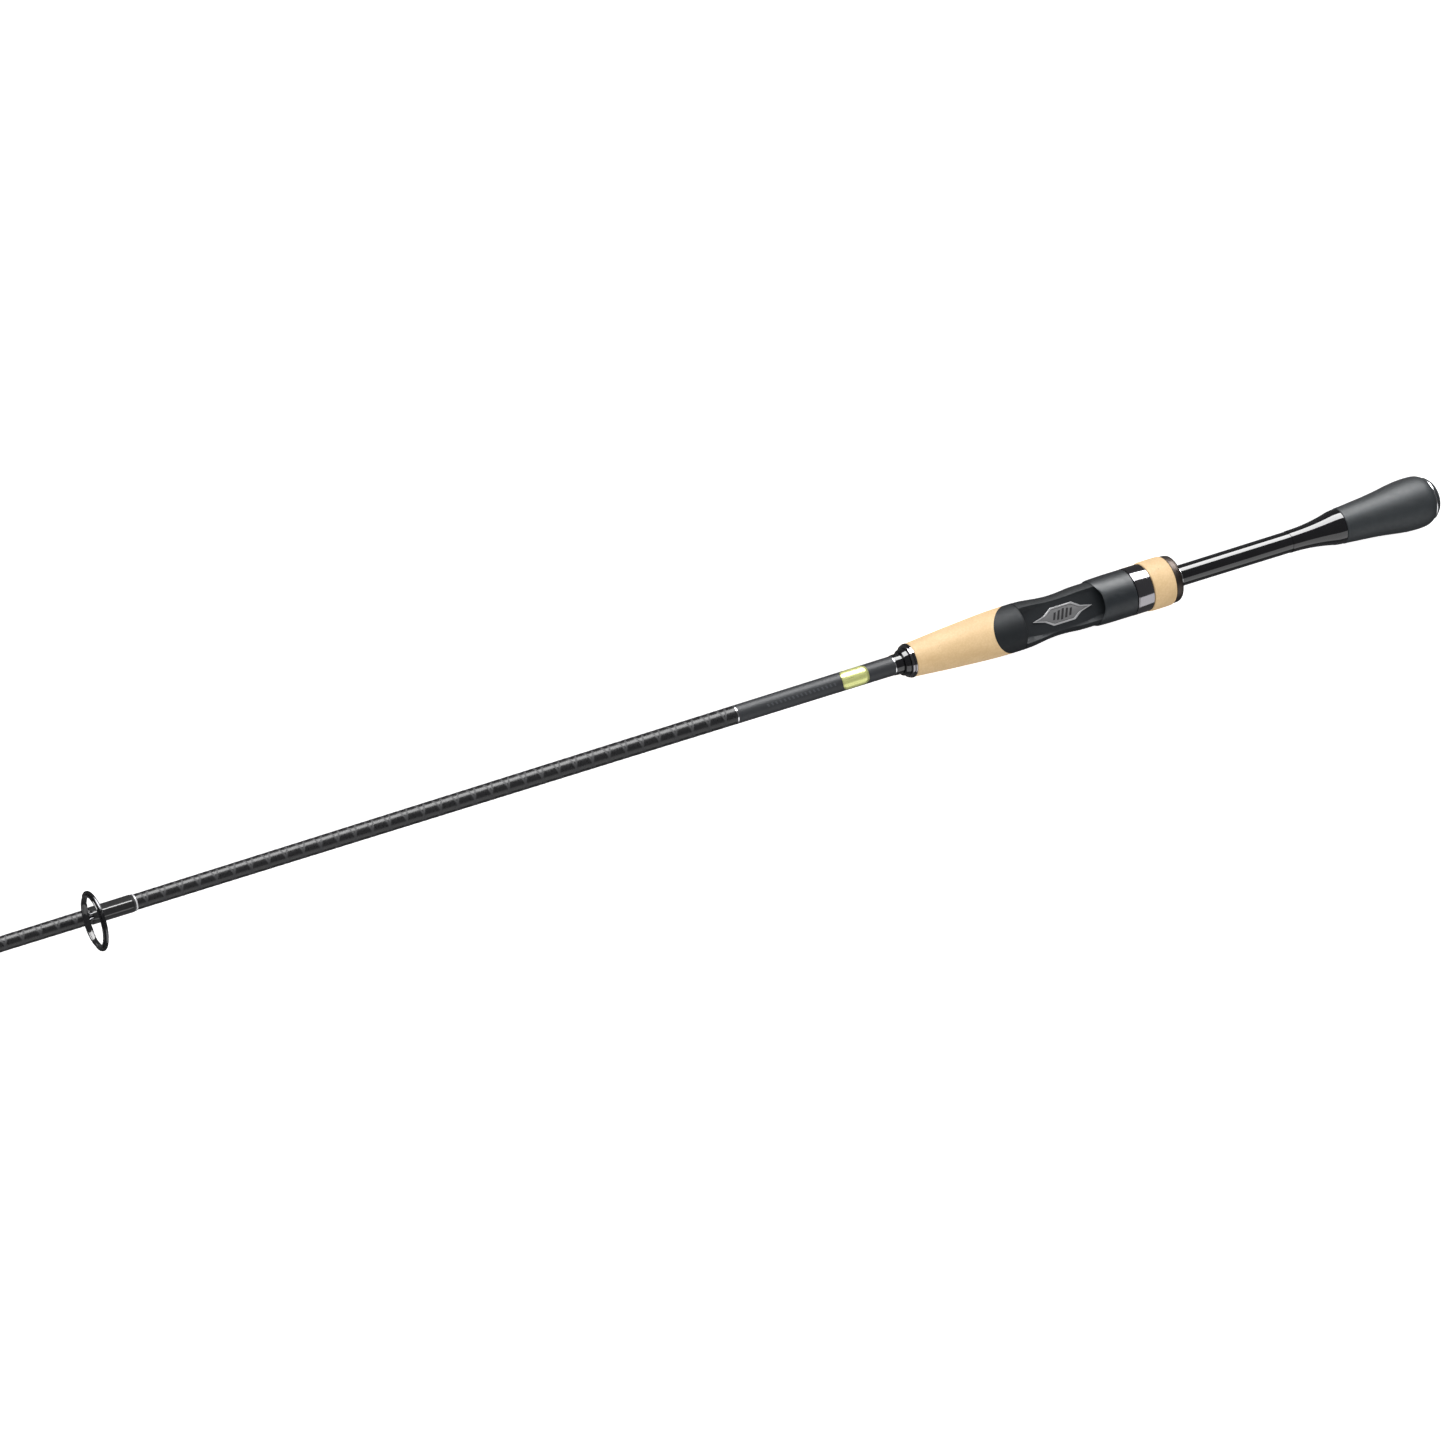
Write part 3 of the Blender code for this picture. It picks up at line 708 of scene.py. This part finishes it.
def toward_end(station):
    """0 in the middle of the reel bed, and 1 towards both of its ends."""
    return ease(9.0, 23.0, abs(station - BED_STATION))


def bed_floor(station):
    return BED_HEIGHT - 0.02 - 0.75 * toward_end(station)


def bed_cut(station, angle):
    """How far from the axis the reel bed's floor and its sloping side walls lie, at an angle."""
    floor = bed_floor(station)
    half = BED_HALF - 1.15 * toward_end(station)
    slope = 0.9 * floor / half
    side, up = abs(math.sin(angle)), math.cos(angle)
    if up <= 0.0:
        return math.inf
    if floor * side / up <= half:
        return floor / up
    reach = up - slope * side
    return (floor - slope * half) / reach if reach > 1e-3 else math.inf


def seat_end(height):
    return SEAT_END + TONGUE_SLOPE * max(height, 0.0)


def seat_angles():
    """Angles round the seat, closer together on the bed's side."""
    near = [math.radians(-66.0 + 132.0 * i / 88) for i in range(88)]
    far = [math.radians(66.0 + 228.0 * i / 52) for i in range(52)]
    return near + far


def reel_seat():
    """The barrel with its sunk bed, the fixed hood, and the slanted tongue over the cork."""
    profile = flowing(SEAT_PROFILE, 5)
    angles = seat_angles()
    rows = []

    def row(radius_at, station_at):
        loop = []
        for angle in angles:
            y, height = around(radius_at(angle), angle)
            loop.append((station_at(height), y, height))
        rows.append(loop)

    def cut_row(station, radius):
        row(lambda a: smooth_min(radius, bed_cut(station, a), 0.3), lambda h: station)

    cut_row(SEAT_START, THREAD_RADIUS - 0.3)
    cut_row(SEAT_START + 0.4, THREAD_RADIUS)
    cut_row(THREAD_END, THREAD_RADIUS)
    cut_row(THREAD_END + 0.5, SEAT_PROFILE[0][1])
    station = THREAD_END + 1.3
    while station < LIP - 0.6:
        cut_row(station, read_curve(profile, station))
        station += 0.6
    cut_row(LIP - 0.02, HOOD_RADIUS)
    for lift, forward in ((0.55, 0.0), (0.3, 0.1), (0.1, 0.3), (0.0, 0.6)):
        row(lambda a: HOOD_RADIUS - lift, lambda h: LIP + forward)
    for i in range(1, 13):
        share = i / 12
        row(lambda a: HOOD_RADIUS, lambda h: LIP + 0.6 + (seat_end(h) - LIP - 0.6) * share)
    row(lambda a: SEAT_BORE, seat_end)
    row(lambda a: SEAT_BORE, lambda h: SEAT_START)
    seat = polar(
        "reel_seat_skin", rows, SEAT_BLACK, sharp_over=SEAT_SHARP,
        replaces=["reel_seat_body"], slot="matte_black",
    )
    hollow_pocket(seat)


def hollow_pocket(seat):
    """Cuts the space for the reel's foot under the fixed hood."""
    floor = bed_floor(LIP)
    reach = math.asin(POCKET_HALF / POCKET_ROOF)
    outline = [(-POCKET_HALF + 0.7, floor), (POCKET_HALF - 0.7, floor)]
    for i in range(25):
        turn = reach - 2.0 * reach * i / 24
        outline.append(around(POCKET_ROOF, turn))
    rows = [[place(station, y, height) for y, height in outline] for station in (LIP - 1.0, POCKET_END)]
    mesh_data = loft(rows, capped=True)
    bmesh.ops.recalc_face_normals(mesh_data, faces=mesh_data.faces)
    cutter = new_object("pocket_cutter", mesh_data)
    cut = seat.modifiers.new("pocket", "BOOLEAN")
    cut.operation = "DIFFERENCE"
    cut.object = cutter
    bpy.context.view_layer.update()
    depsgraph = bpy.context.evaluated_depsgraph_get()
    seat.data = bpy.data.meshes.new_from_object(seat.evaluated_get(depsgraph))
    seat.modifiers.clear()
    bpy.data.objects.remove(cutter)
    seat.data.shade_smooth()
    seat.data.set_sharp_from_angle(angle=math.radians(SEAT_SHARP))


def badge_outline(shrink=0.0):
    """A long hexagon with drawn-out points, as (station, y)."""
    low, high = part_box("badge_plate")
    length = (high.x - low.x) / 2.0 / MM - shrink * 2.2
    half = (high.y - low.y) / 2.0 / MM - shrink
    wing, shoulder = length * 0.62, length * 0.36
    quarter = [(length, 0.0), (wing, half * 0.36), (shoulder, half)]
    upper = quarter + [(-s, y) for s, y in quarter[::-1]]
    lower = [(-s, -y) for s, y in quarter[1:]] + [(s, -y) for s, y in quarter[:0:-1]]
    return [(BADGE_STATION + s, y) for s, y in upper + lower]


def stepped_plate(name, levels, look, **placing):
    """A plate from (outline, height) levels, each joined to the next, with both ends filled."""
    rows = [[place(station, y, height) for station, y in outline] for outline, height in levels]
    return add_piece(name, loft(rows, capped=True), look, sharp_over=20.0, **placing)


def badge():
    """A raised rim round a sunk field with five slanted bars."""
    top = BED_HEIGHT + BADGE_PROUD
    rim = [(0.0, -0.8), (0.0, -0.15), (0.15, 0.0), (0.85, 0.0), (1.0, -0.4)]
    levels = [(badge_outline(shrink), top + rise) for shrink, rise in rim]
    stepped_plate("badge_rim", levels, BADGE_LIGHT, replaces=["badge_plate"], slot="badge")
    field = [(1.05, -0.5), (1.05, -0.34), (1.5, -0.22)]
    levels = [(badge_outline(shrink), top + rise) for shrink, rise in field]
    stepped_plate("badge_field", levels, BADGE_DARK, slot="badge")

    def bar(centre, half_length, half_width):
        corners = [(-half_width, -half_length), (half_width, -half_length)]
        corners += [(half_width, half_length), (-half_width, half_length)]
        return [(BADGE_STATION + centre + s + y * BAR_LEAN, y) for s, y in corners]

    for i in range(5):
        centre = (i - 2) * BAR_PITCH
        half_length = 2.9 - 0.45 * abs(i - 2)
        foot = bar(centre, half_length, 0.7)
        levels = [(foot, top - 0.3), (foot, top - 0.16)]
        levels.append((bar(centre, half_length - 0.12, 0.58), top - 0.1))
        stepped_plate(f"badge_bar_{i + 1}", levels, BADGE_INK, slot="badge")


# ---- the fore grip and its rings


def fore_grip():
    start = SEAT_END + 0.12
    _, end, _ = span("fore_grip")
    profile = flowing([
        (start, HOOD_RADIUS), (286.0, 13.05), (295.5, 12.67), (302.0, 12.27), (310.0, 11.75),
        (320.0, 11.05), (330.0, 10.25), (337.0, 9.66), (339.8, 9.44),
    ], 4)
    profile += [(end - 0.8, 9.36), (end - 0.3, 9.12), (end - 0.05, 8.75), (end, 8.5)]
    rows = []
    turns = ring_turns(SIDES)
    for station, radius in profile:
        # A loop leans with the seat's end at first, and is square to the rod at the front.
        lean = TONGUE_SLOPE * (1.0 - ease(start + 15.0, end - 5.0, station))
        lean *= 1.0 - (station - start) / (end - start)
        loop = []
        for turn in turns:
            leant = station + lean * max(radius * math.cos(turn), 0.0)
            at = min(read_curve(profile, leant), radius) if station > start else radius
            loop.append((leant, *around(at, turn)))
        rows.append(loop)
    rows.append([(end, *around(FORE_GRIP_BORE, t)) for t in turns])
    back = [around(FORE_GRIP_BORE, t) for t in turns]
    rows.append([(start + TONGUE_SLOPE * max(height, 0.0), y, height) for y, height in back])
    polar("fore_grip_skin", rows, CORK, replaces=["fore_grip"], slot="cork")


def front_rings():
    """The stepped metal ring, the black ring and the thin gloss collar in front of the cork."""
    start, end, _ = span("front_check")
    start -= 0.15
    steps = [(start, 9.3), (start + 0.2, 9.58), (start + 1.15, 9.58), (start + 1.25, 8.85)]
    steps += [(start + 1.4, 8.8), (start + 1.5, 9.05), (end - 0.3, 9.0), (end, 8.5)]
    metal = {"cut": 0.1, "slot": "dark_chrome"}
    sleeve("front_check_skin", steps, RING_BORE, DARK_CHROME, "front_check", **metal)
    start, end, _ = span("front_collar_ring")
    start -= 0.15
    ring = [(start, 7.65), (start + 0.3, 7.83), (end - 0.6, 7.2), (end - 0.2, 7.0), (end, 6.7)]
    gloss = {"look": GLOSS_BLACK, "slot": "gloss_black"}
    sleeve("front_collar_skin", ring, RING_BORE, node="front_collar_ring", cut=0.15, **gloss)
    start, end, _ = span("gloss_collar")
    collar = flowing([(start, 5.78), (start + 2.5, 5.76), (end - 0.6, 5.68), (end, 5.56)], 4)
    sleeve("gloss_collar_skin", collar, RING_BORE - 0.04, node="gloss_collar", cut=0.03, **gloss)


# ---- the blanks


def tape(turn):
    """The height of a wound tape, from 0 to 1, at a share of the way along its pitch."""
    away = abs((turn + 0.5) % 1.0 - 0.5)
    return math.exp(-((away / TAPE_SHARE) ** 2))


def woven_blank(name, blank, start, end, step, body, node, bore=None):
    """A blank with the relief of two crossing windings."""
    rows = []
    count = int((end - start) / step)
    turns = [i / BLANK_SIDES for i in range(BLANK_SIDES)]
    for k in range(count + 1):
        station = start + (end - start) * k / count
        radius = taper(blank, station)
        height = WEAVE_HEIGHT * min(1.0, radius / 3.5)
        loop = []
        for turn in turns:
            along = station / WEAVE_PITCH
            about = turn - WEAVE_TURN / math.tau
            at = radius + height * (tape(along + about) + tape(along - about) - 0.6)
            loop.append((station, *around(at, turn * math.tau)))
        rows.append(loop)
    for station, radius in bore or [(s, taper(blank, s) - WOVEN_WALL) for s in (end, start)]:
        rows.append([(station, *around(radius, t * math.tau)) for t in turns])
    polar(name, rows, CROSS_WOUND, body=body, replaces=[node], slot="blank", sharp_over=60.0)


def smooth_blank(name, start, end, look):
    outer = [(s, taper(BUTT_BLANK, s)) for s in (start, end)]
    inner = [(s, r - BLANK_WALL) for s, r in outer]
    tube(name, outer, inner, look, sides=SLIM_SIDES, cut=0.05, replaces=["butt_blank"], slot="blank")


def pinstripe(name, blank, station, width, body="butt_section", look=SILVER, lift=0.07):
    """A narrow band round a blank, centred on a station."""
    radius = taper(blank, station) + lift
    outer = [(station - width / 2, radius), (station + width / 2, radius)]
    inner = [(s, r - 0.3) for s, r in outer]
    tube(name, outer, inner, look, sides=SLIM_SIDES, cut=0.06, body=body, slot="silver")


def label():
    """A foil label with round corners, wrapped over the near side of the blank."""
    mesh_data = bmesh.new()
    rows = []
    radius = taper(BUTT_BLANK, (LABEL_START + LABEL_END) / 2)
    for i in range(49):
        turn = LABEL_MIDDLE + LABEL_REACH * (i / 24.0 - 1.0)
        to_edge = (LABEL_REACH - abs(turn - LABEL_MIDDLE)) * radius
        inset = 0.0
        if to_edge < LABEL_CORNER:
            inset = LABEL_CORNER - math.sqrt(LABEL_CORNER**2 - (LABEL_CORNER - to_edge) ** 2)
        row = []
        for k in range(9):
            station = LABEL_START + inset + (LABEL_END - LABEL_START - 2.0 * inset) * k / 8
            at = taper(BUTT_BLANK, station) + 0.09
            row.append(mesh_data.verts.new(place(station, *around(at, turn))))
        rows.append(row)
    for first, second in zip(rows, rows[1:]):
        for k in range(8):
            mesh_data.faces.new((first[k], first[k + 1], second[k + 1], second[k]))
    foil = add_piece("label_foil_patch", mesh_data, LABEL_FOIL, slot="badge")
    thick = foil.modifiers.new("thickness", "SOLIDIFY")
    thick.thickness = 0.00006
    thick.offset = -1.0


def blanks():
    """The butt blank in four finishes, the tip blank that slides over its end, and their bands."""
    collar_end = span("gloss_collar")[1]
    butt_end = span("butt_blank")[1]
    tip_start, tip_end = TIP_BLANK[0][0], TIP_BLANK[-1][0]
    under_tip = tip_start + 2.0
    smooth_blank("butt_blank_gloss", BUTT_BLANK[0][0], collar_end - 1.0, GLOSS_BLACK)
    smooth_blank("butt_blank_print", collar_end - 1.0, WEAVE_START, PRINTED_GREY)
    placing = {"body": "butt_section", "node": "butt_blank"}
    woven_blank("butt_blank_woven", BUTT_BLANK, WEAVE_START, under_tip, 0.8, **placing)
    smooth_blank("butt_blank_spigot", under_tip, butt_end, GLOSS_BLACK)
    socket = butt_end + 2.0
    bore = [(tip_end - 0.1, 0.2), (socket, 3.08)]
    bore += [(station, taper(BUTT_BLANK, station) + 0.06) for station in (socket, tip_start)]
    woven_blank("tip_blank_woven", TIP_BLANK, tip_start, tip_end, 1.0, "tip_section", "tip_blank", bore)
    pinstripe("handle_stripe", BUTT_BLANK, 168.9, 0.5)
    pinstripe("collar_stripe", BUTT_BLANK, collar_end + 0.3, 0.7)
    pinstripe("print_stripe", BUTT_BLANK, WEAVE_START, 0.8)
    label()


# ---- guides


def rounded_path(corners, cuts, steps=8):
    """Replaces inner corners of a path by curves that leave each side at the given distance."""
    path = [corners[0]]
    for before, corner, after, cut in zip(corners, corners[1:], corners[2:], cuts):
        entry = corner + (before - corner).normalized() * min(cut, (before - corner).length * 0.45)
        leave = corner + (after - corner).normalized() * min(cut, (after - corner).length * 0.45)
        for i in range(steps + 1):
            t = i / steps
            path.append(entry * (1 - t) ** 2 + corner * 2 * t * (1 - t) + leave * t**2)
    return path + [corners[-1]]


class Guide:
    """The sizes of one guide, all worked out from its ring."""

    def __init__(self, station, radius, height):
        self.station, self.radius, self.height = station, radius, height
        self.wire = 0.35 + 0.037 * radius
        self.centreline = radius - self.wire
        self.ceramic = 0.5 + 0.043 * radius
        self.hole = radius - 2.0 * self.wire - 0.1 - self.ceramic
        self.bend = 0.2 * radius
        self.foot_end = station - 0.66 * radius
        self.foot_start = self.foot_end - 9.0 - radius
        on_tip = station > TIP_BLANK[0][0]
        self.blank = TIP_BLANK if on_tip else BUTT_BLANK
        self.body = "tip_section" if on_tip else "butt_section"

    def foot_height(self, station):
        return taper(self.blank, station) + self.wire + 0.05

    def at(self, along, radius, turn):
        """A point in metres on the leaning ring, at a turn from its top."""
        y, rise = around(radius, turn)
        return place(self.station + along + rise * GUIDE_LEAN, y, self.height + rise)


def guide_frame(name, guide, foot, side, node):
    """One bent wire: along the foot, up a leg, round the ring and back down the other leg."""
    rise = guide.height - foot[1].z
    reach = math.hypot(side, rise)
    start_turn = math.acos(guide.centreline / reach) + math.atan2(side, rise)
    steps = 56
    turns = [start_turn + (math.tau - 2 * start_turn) * i / steps for i in range(steps + 1)]

    def on_ring(turn):
        y, height = guide.centreline * math.sin(turn), guide.height - guide.centreline * math.cos(turn)
        return Vector((guide.station + (height - guide.height) * GUIDE_LEAN, y, height))

    leg = [Vector((p.x, side, p.z)) for p in foot]
    cuts = [guide.bend, guide.bend]
    half = rounded_path(leg + [on_ring(turns[0]), on_ring(turns[3])], cuts)[:-1]
    mirrored = [Vector((p.x, -p.y, p.z)) for p in half[::-1]]
    path = half + [on_ring(turn) for turn in turns[3:-3]] + mirrored
    swept(
        name, [place(*p) for p in path], guide.wire, GUIDE_METAL,
        body=guide.body, replaces=[node], slot="guide_metal",
    )


def guide_brace(name, guide):
    """The curved plate behind the ring's lowest part, where the legs are stamped out."""
    inner = guide.centreline - guide.wire * 0.55
    outer = guide.centreline + guide.wire * 0.45
    depth = guide.wire * 0.4 + 0.13 * guide.radius
    section = [(0.0, inner), (0.0, outer), (-depth, outer + 0.1), (-depth, inner + 0.15)]
    rows = []
    steps = 24
    for i in range(steps + 1):
        turn = math.pi - math.radians(-33.0 + 66.0 * i / steps)
        rows.append([guide.at(along, radius, turn) for along, radius in softened(section, 0.15)])
    add_piece(name, loft(rows, capped=True), GUIDE_METAL, body=guide.body, slot="guide_metal")


def guide_ring(name, guide, node):
    """The ceramic ring that the line runs through, turned about its own axis."""
    half_width = 0.85 * guide.ceramic + 0.55
    outer = guide.radius - 2.0 * guide.wire - 0.02
    inner_curve = []
    for i in range(13):
        turn = math.pi * i / 12
        swell = 0.5 * guide.ceramic * (1.0 - math.sin(turn))
        inner_curve.append((half_width * math.cos(turn), guide.hole + swell))
    section = [(-half_width, outer), (-half_width * 0.5, outer + 0.12), (half_width * 0.5, outer + 0.12)]
    section += [(half_width, outer)] + inner_curve
    turns = ring_turns(72 if guide.radius > 8.0 else 48, 0.0)
    rows = []
    for along, radius in softened(section, 0.2):
        rows.append([guide.at(along, radius, turn) for turn in turns])
    placing = {"body": guide.body, "slot": "ceramic"}
    add_piece(name, loft(rows, joined=True), CERAMIC, replaces=[node], sharp_over=70.0, **placing)


def tight_loop(circles, sides):
    """The corners, as (y, height), of a thread pulled tight round (y, height, radius) circles."""
    normals = [around(1.0, turn) for turn in ring_turns(sides, 0.0)]
    reach = [max(y * a + h * b + r for y, h, r in circles) for a, b in normals]
    step = math.tau / sides
    corners = []
    for k, (a, b) in enumerate(normals):
        following = (k + 1) % sides
        first = (reach[k] - reach[following] * math.cos(step)) / math.sin(step) ** 2
        second = (reach[following] - reach[k] * math.cos(step)) / math.sin(step) ** 2
        c, d = normals[following]
        corners.append((a * first + c * second, b * first + d * second))
    return corners


def wrap(name, blank, start, end, node, body, foot=None):
    """A varnished thread winding round the blank, swelling gently over a guide's foot."""
    rows = []
    count = 28

    def loop(station, layer, rise):
        radius = taper(blank, station)
        circles = [(0.0, 0.0, radius + layer)]
        if foot and rise > 0.0:
            lift = foot.foot_height(start + WRAP_STEP)
            lift = radius - foot.wire + (lift - radius + foot.wire) * rise
            reach = foot.wire + layer
            circles += [(foot.wire + 0.15, lift, reach), (-foot.wire - 0.15, lift, reach)]
        return [(station, y, h) for y, h in tight_loop(circles, WRAP_SIDES)]

    for k in range(count + 1):
        share = k / count
        station = start + (end - start) * share
        from_end = min(station - start, end - station)
        dome = math.sqrt(max(0.0, 1.0 - (1.0 - min(from_end / 0.9, 1.0)) ** 2))
        layer = WRAP_ROOM * 0.3 + (WRAP_THICKNESS + WRAP_ROOM * 0.7) * dome
        rows.append(loop(station, layer, ease(start, start + WRAP_STEP, station)))
    rows.append(loop(end, 0.02, 1.0 if foot else 0.0))
    rows.append(loop(start, 0.02, 0.0))
    placing = {"body": body, "slot": "gloss_black"}
    polar(name, rows, BLACK_THREAD, replaces=[node], sharp_over=60.0, **placing)


def line_guide(number, size):
    guide = Guide(*size)
    lift = guide.foot_height(guide.foot_start + WRAP_STEP)
    foot_ends = (guide.foot_start + WRAP_STEP + 0.3, guide.foot_end + guide.bend + 0.3)
    foot = [Vector((s, 0.0, lift)) for s in foot_ends]
    name = f"guide_{number}"
    guide_frame(f"{name}_wire", guide, foot, guide.wire + 0.15, f"{name}_frame")
    guide_ring(f"{name}_ceramic", guide, f"{name}_ring")
    if number < 4:
        guide_brace(f"{name}_brace", guide)
    ends = (guide.foot_start, guide.foot_end)
    wrap(f"{name}_thread", guide.blank, *ends, f"{name}_wrap", guide.body, guide)
    band = 0.9 if number == 1 else 0.6
    middle = guide.foot_start - band / 2
    pinstripe(f"{name}_trim", guide.blank, middle, band, guide.body, SILVER_THREAD, 0.3)


def tip_top():
    start, end, radius = TIP_TUBE
    bore = taper(TIP_BLANK, start) + 0.03
    outline = [(end - 1.7, 0.0), (end - 1.7, bore), (start, bore), (start, radius)]
    outline += [(end - 0.6, radius), (end, radius - 0.5), (end, 0.0)]
    turned(
        "tip_tube_skin", outline, GUIDE_METAL, sides=40, closed=False, cut=0.15,
        body="tip_section", replaces=["tip_top_tube"], slot="guide_metal",
    )
    guide = Guide(*TIP_TOP)
    foot = [Vector((start + 3.0, 0.0, 0.0)), Vector((end - 3.0, 0.0, 0.0))]
    guide_frame("tip_top_wire", guide, foot, radius + guide.wire - 0.05, "tip_top_frame")
    guide_ring("tip_top_ceramic", guide, "tip_top_ring")
    wrap("tip_top_thread", TIP_BLANK, start - 8.0, start - 0.1, "tip_top_wrap", "tip_section")


def ferrule():
    """The winding at the mouth of the tip section's socket."""
    start = TIP_BLANK[0][0]
    wrap("ferrule_thread", TIP_BLANK, start + 0.4, start + 13.0, "ferrule_wrap", "tip_section")
    pinstripe("ferrule_trim", TIP_BLANK, start + 13.4, 0.8, "tip_section", SILVER_THREAD, 0.3)


# ---- camera, light and floor


def set_up(name, data, aim, distance, right, up, toward):
    """A camera or light at a distance from its aim, square to the directions given."""
    made = bpy.data.objects.new(name, data)
    bpy.context.scene.collection.objects.link(made)
    turn = Matrix((right, up, toward)).transposed()
    made.matrix_world = Matrix.Translation(aim + toward * distance) @ turn.to_4x4()
    return made


def camera():
    """A long lens that looks at the handle from the tip's side, square to the bed and guides."""
    toward = Vector((math.sin(VIEW_LEAN), 0.0, math.cos(VIEW_LEAN)))
    along = Vector((-math.cos(VIEW_LEAN), 0.0, math.sin(VIEW_LEAN)))
    roll = Matrix.Rotation(ROD_ROLL, 3, "X")
    toward, along = roll @ toward, roll @ along
    across = toward.cross(along)
    right = along * math.cos(FRAME_ROLL) - across * math.sin(FRAME_ROLL)
    up = along * math.sin(FRAME_ROLL) + across * math.cos(FRAME_ROLL)
    data = bpy.data.cameras.new("camera")
    data.lens = LENS
    data.sensor_width = 36.0
    data.clip_start = 0.1
    data.clip_end = 50.0
    aim = place(AIM_STATION, 0.0, 0.0) - across * AIM_LIFT
    bpy.context.scene.camera = set_up("camera", data, aim, DISTANCE, right, up, toward)


def softbox(name, angle, distance, width, radiance, sees, aim_station=150.0, length=3.4):
    """A long softbox beside the rod. angle is from straight up, positive on the side y points to."""
    data = bpy.data.lights.new(name, "AREA")
    data.shape = "RECTANGLE"
    data.size, data.size_y = length, width
    data.energy = radiance * length * width * math.pi
    along = Vector((1.0, 0.0, 0.0))
    toward = Vector((0.0, *around(1.0, math.radians(angle))))
    aim = place(aim_station, 0.0, 0.0)
    light = set_up(name, data, aim, distance, along, toward.cross(along), toward)
    light.visible_camera = False
    light.visible_diffuse = sees == "diffuse"
    light.visible_glossy = sees == "glossy"


def surroundings():
    """A pale floor under the rod, and a world that is bright to the camera and dim to the rod."""
    floor_mesh = bmesh.new()
    bmesh.ops.create_grid(floor_mesh, x_segments=4, y_segments=4, size=8.0)
    floor = new_object("floor", floor_mesh)
    floor.data.materials.append(floor_look())
    floor.location = (0.4, 0.0, cad_bounds[0][2] - 0.0005)
    floor.visible_glossy = False

    world = bpy.data.worlds.new("studio")
    bpy.context.scene.world = world
    world.use_nodes = True
    tree = world.node_tree
    background = tree.nodes["Background"]
    background.inputs["Color"].default_value = (0.97, 0.98, 1.0, 1.0)
    rays = tree.nodes.new("ShaderNodeLightPath")
    level = tree.nodes.new("ShaderNodeMapRange")
    level.inputs["To Min"].default_value = 0.1
    level.inputs["To Max"].default_value = 1.0
    tree.links.new(rays.outputs["Is Camera Ray"], level.inputs["Value"])
    tree.links.new(level.outputs["Result"], background.inputs["Strength"])
    bpy.context.scene.view_settings.view_transform = "Standard"


def lights():
    """A bright strip on one side, a dimmer one on the other, and an even light for the floor."""
    softbox("key_shine", -68.0, 1.7, 1.25, 11.0, "glossy")
    softbox("low_shine", 64.0, 1.7, 1.6, 1.15, "glossy")
    softbox("key_soft", -66.0, 2.2, 1.2, 2.6, "diffuse")
    softbox("overhead", 0.0, 3.0, 5.0, 1.5, "diffuse", aim_station=700.0, length=6.0)


# ---- all of it

rear_handle()
lock_nut()
moving_hood()
reel_seat()
badge()
fore_grip()
front_rings()
blanks()
for guide_number, guide_size in enumerate(GUIDES, 1):
    line_guide(guide_number, guide_size)
ferrule()
tip_top()
for inner_node in ("hood_insert", "nut_sleeve"):
    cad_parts[inner_node].data.materials.clear()
    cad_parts[inner_node].data.materials.append(SEAT_BLACK)

camera()
surroundings()
lights()
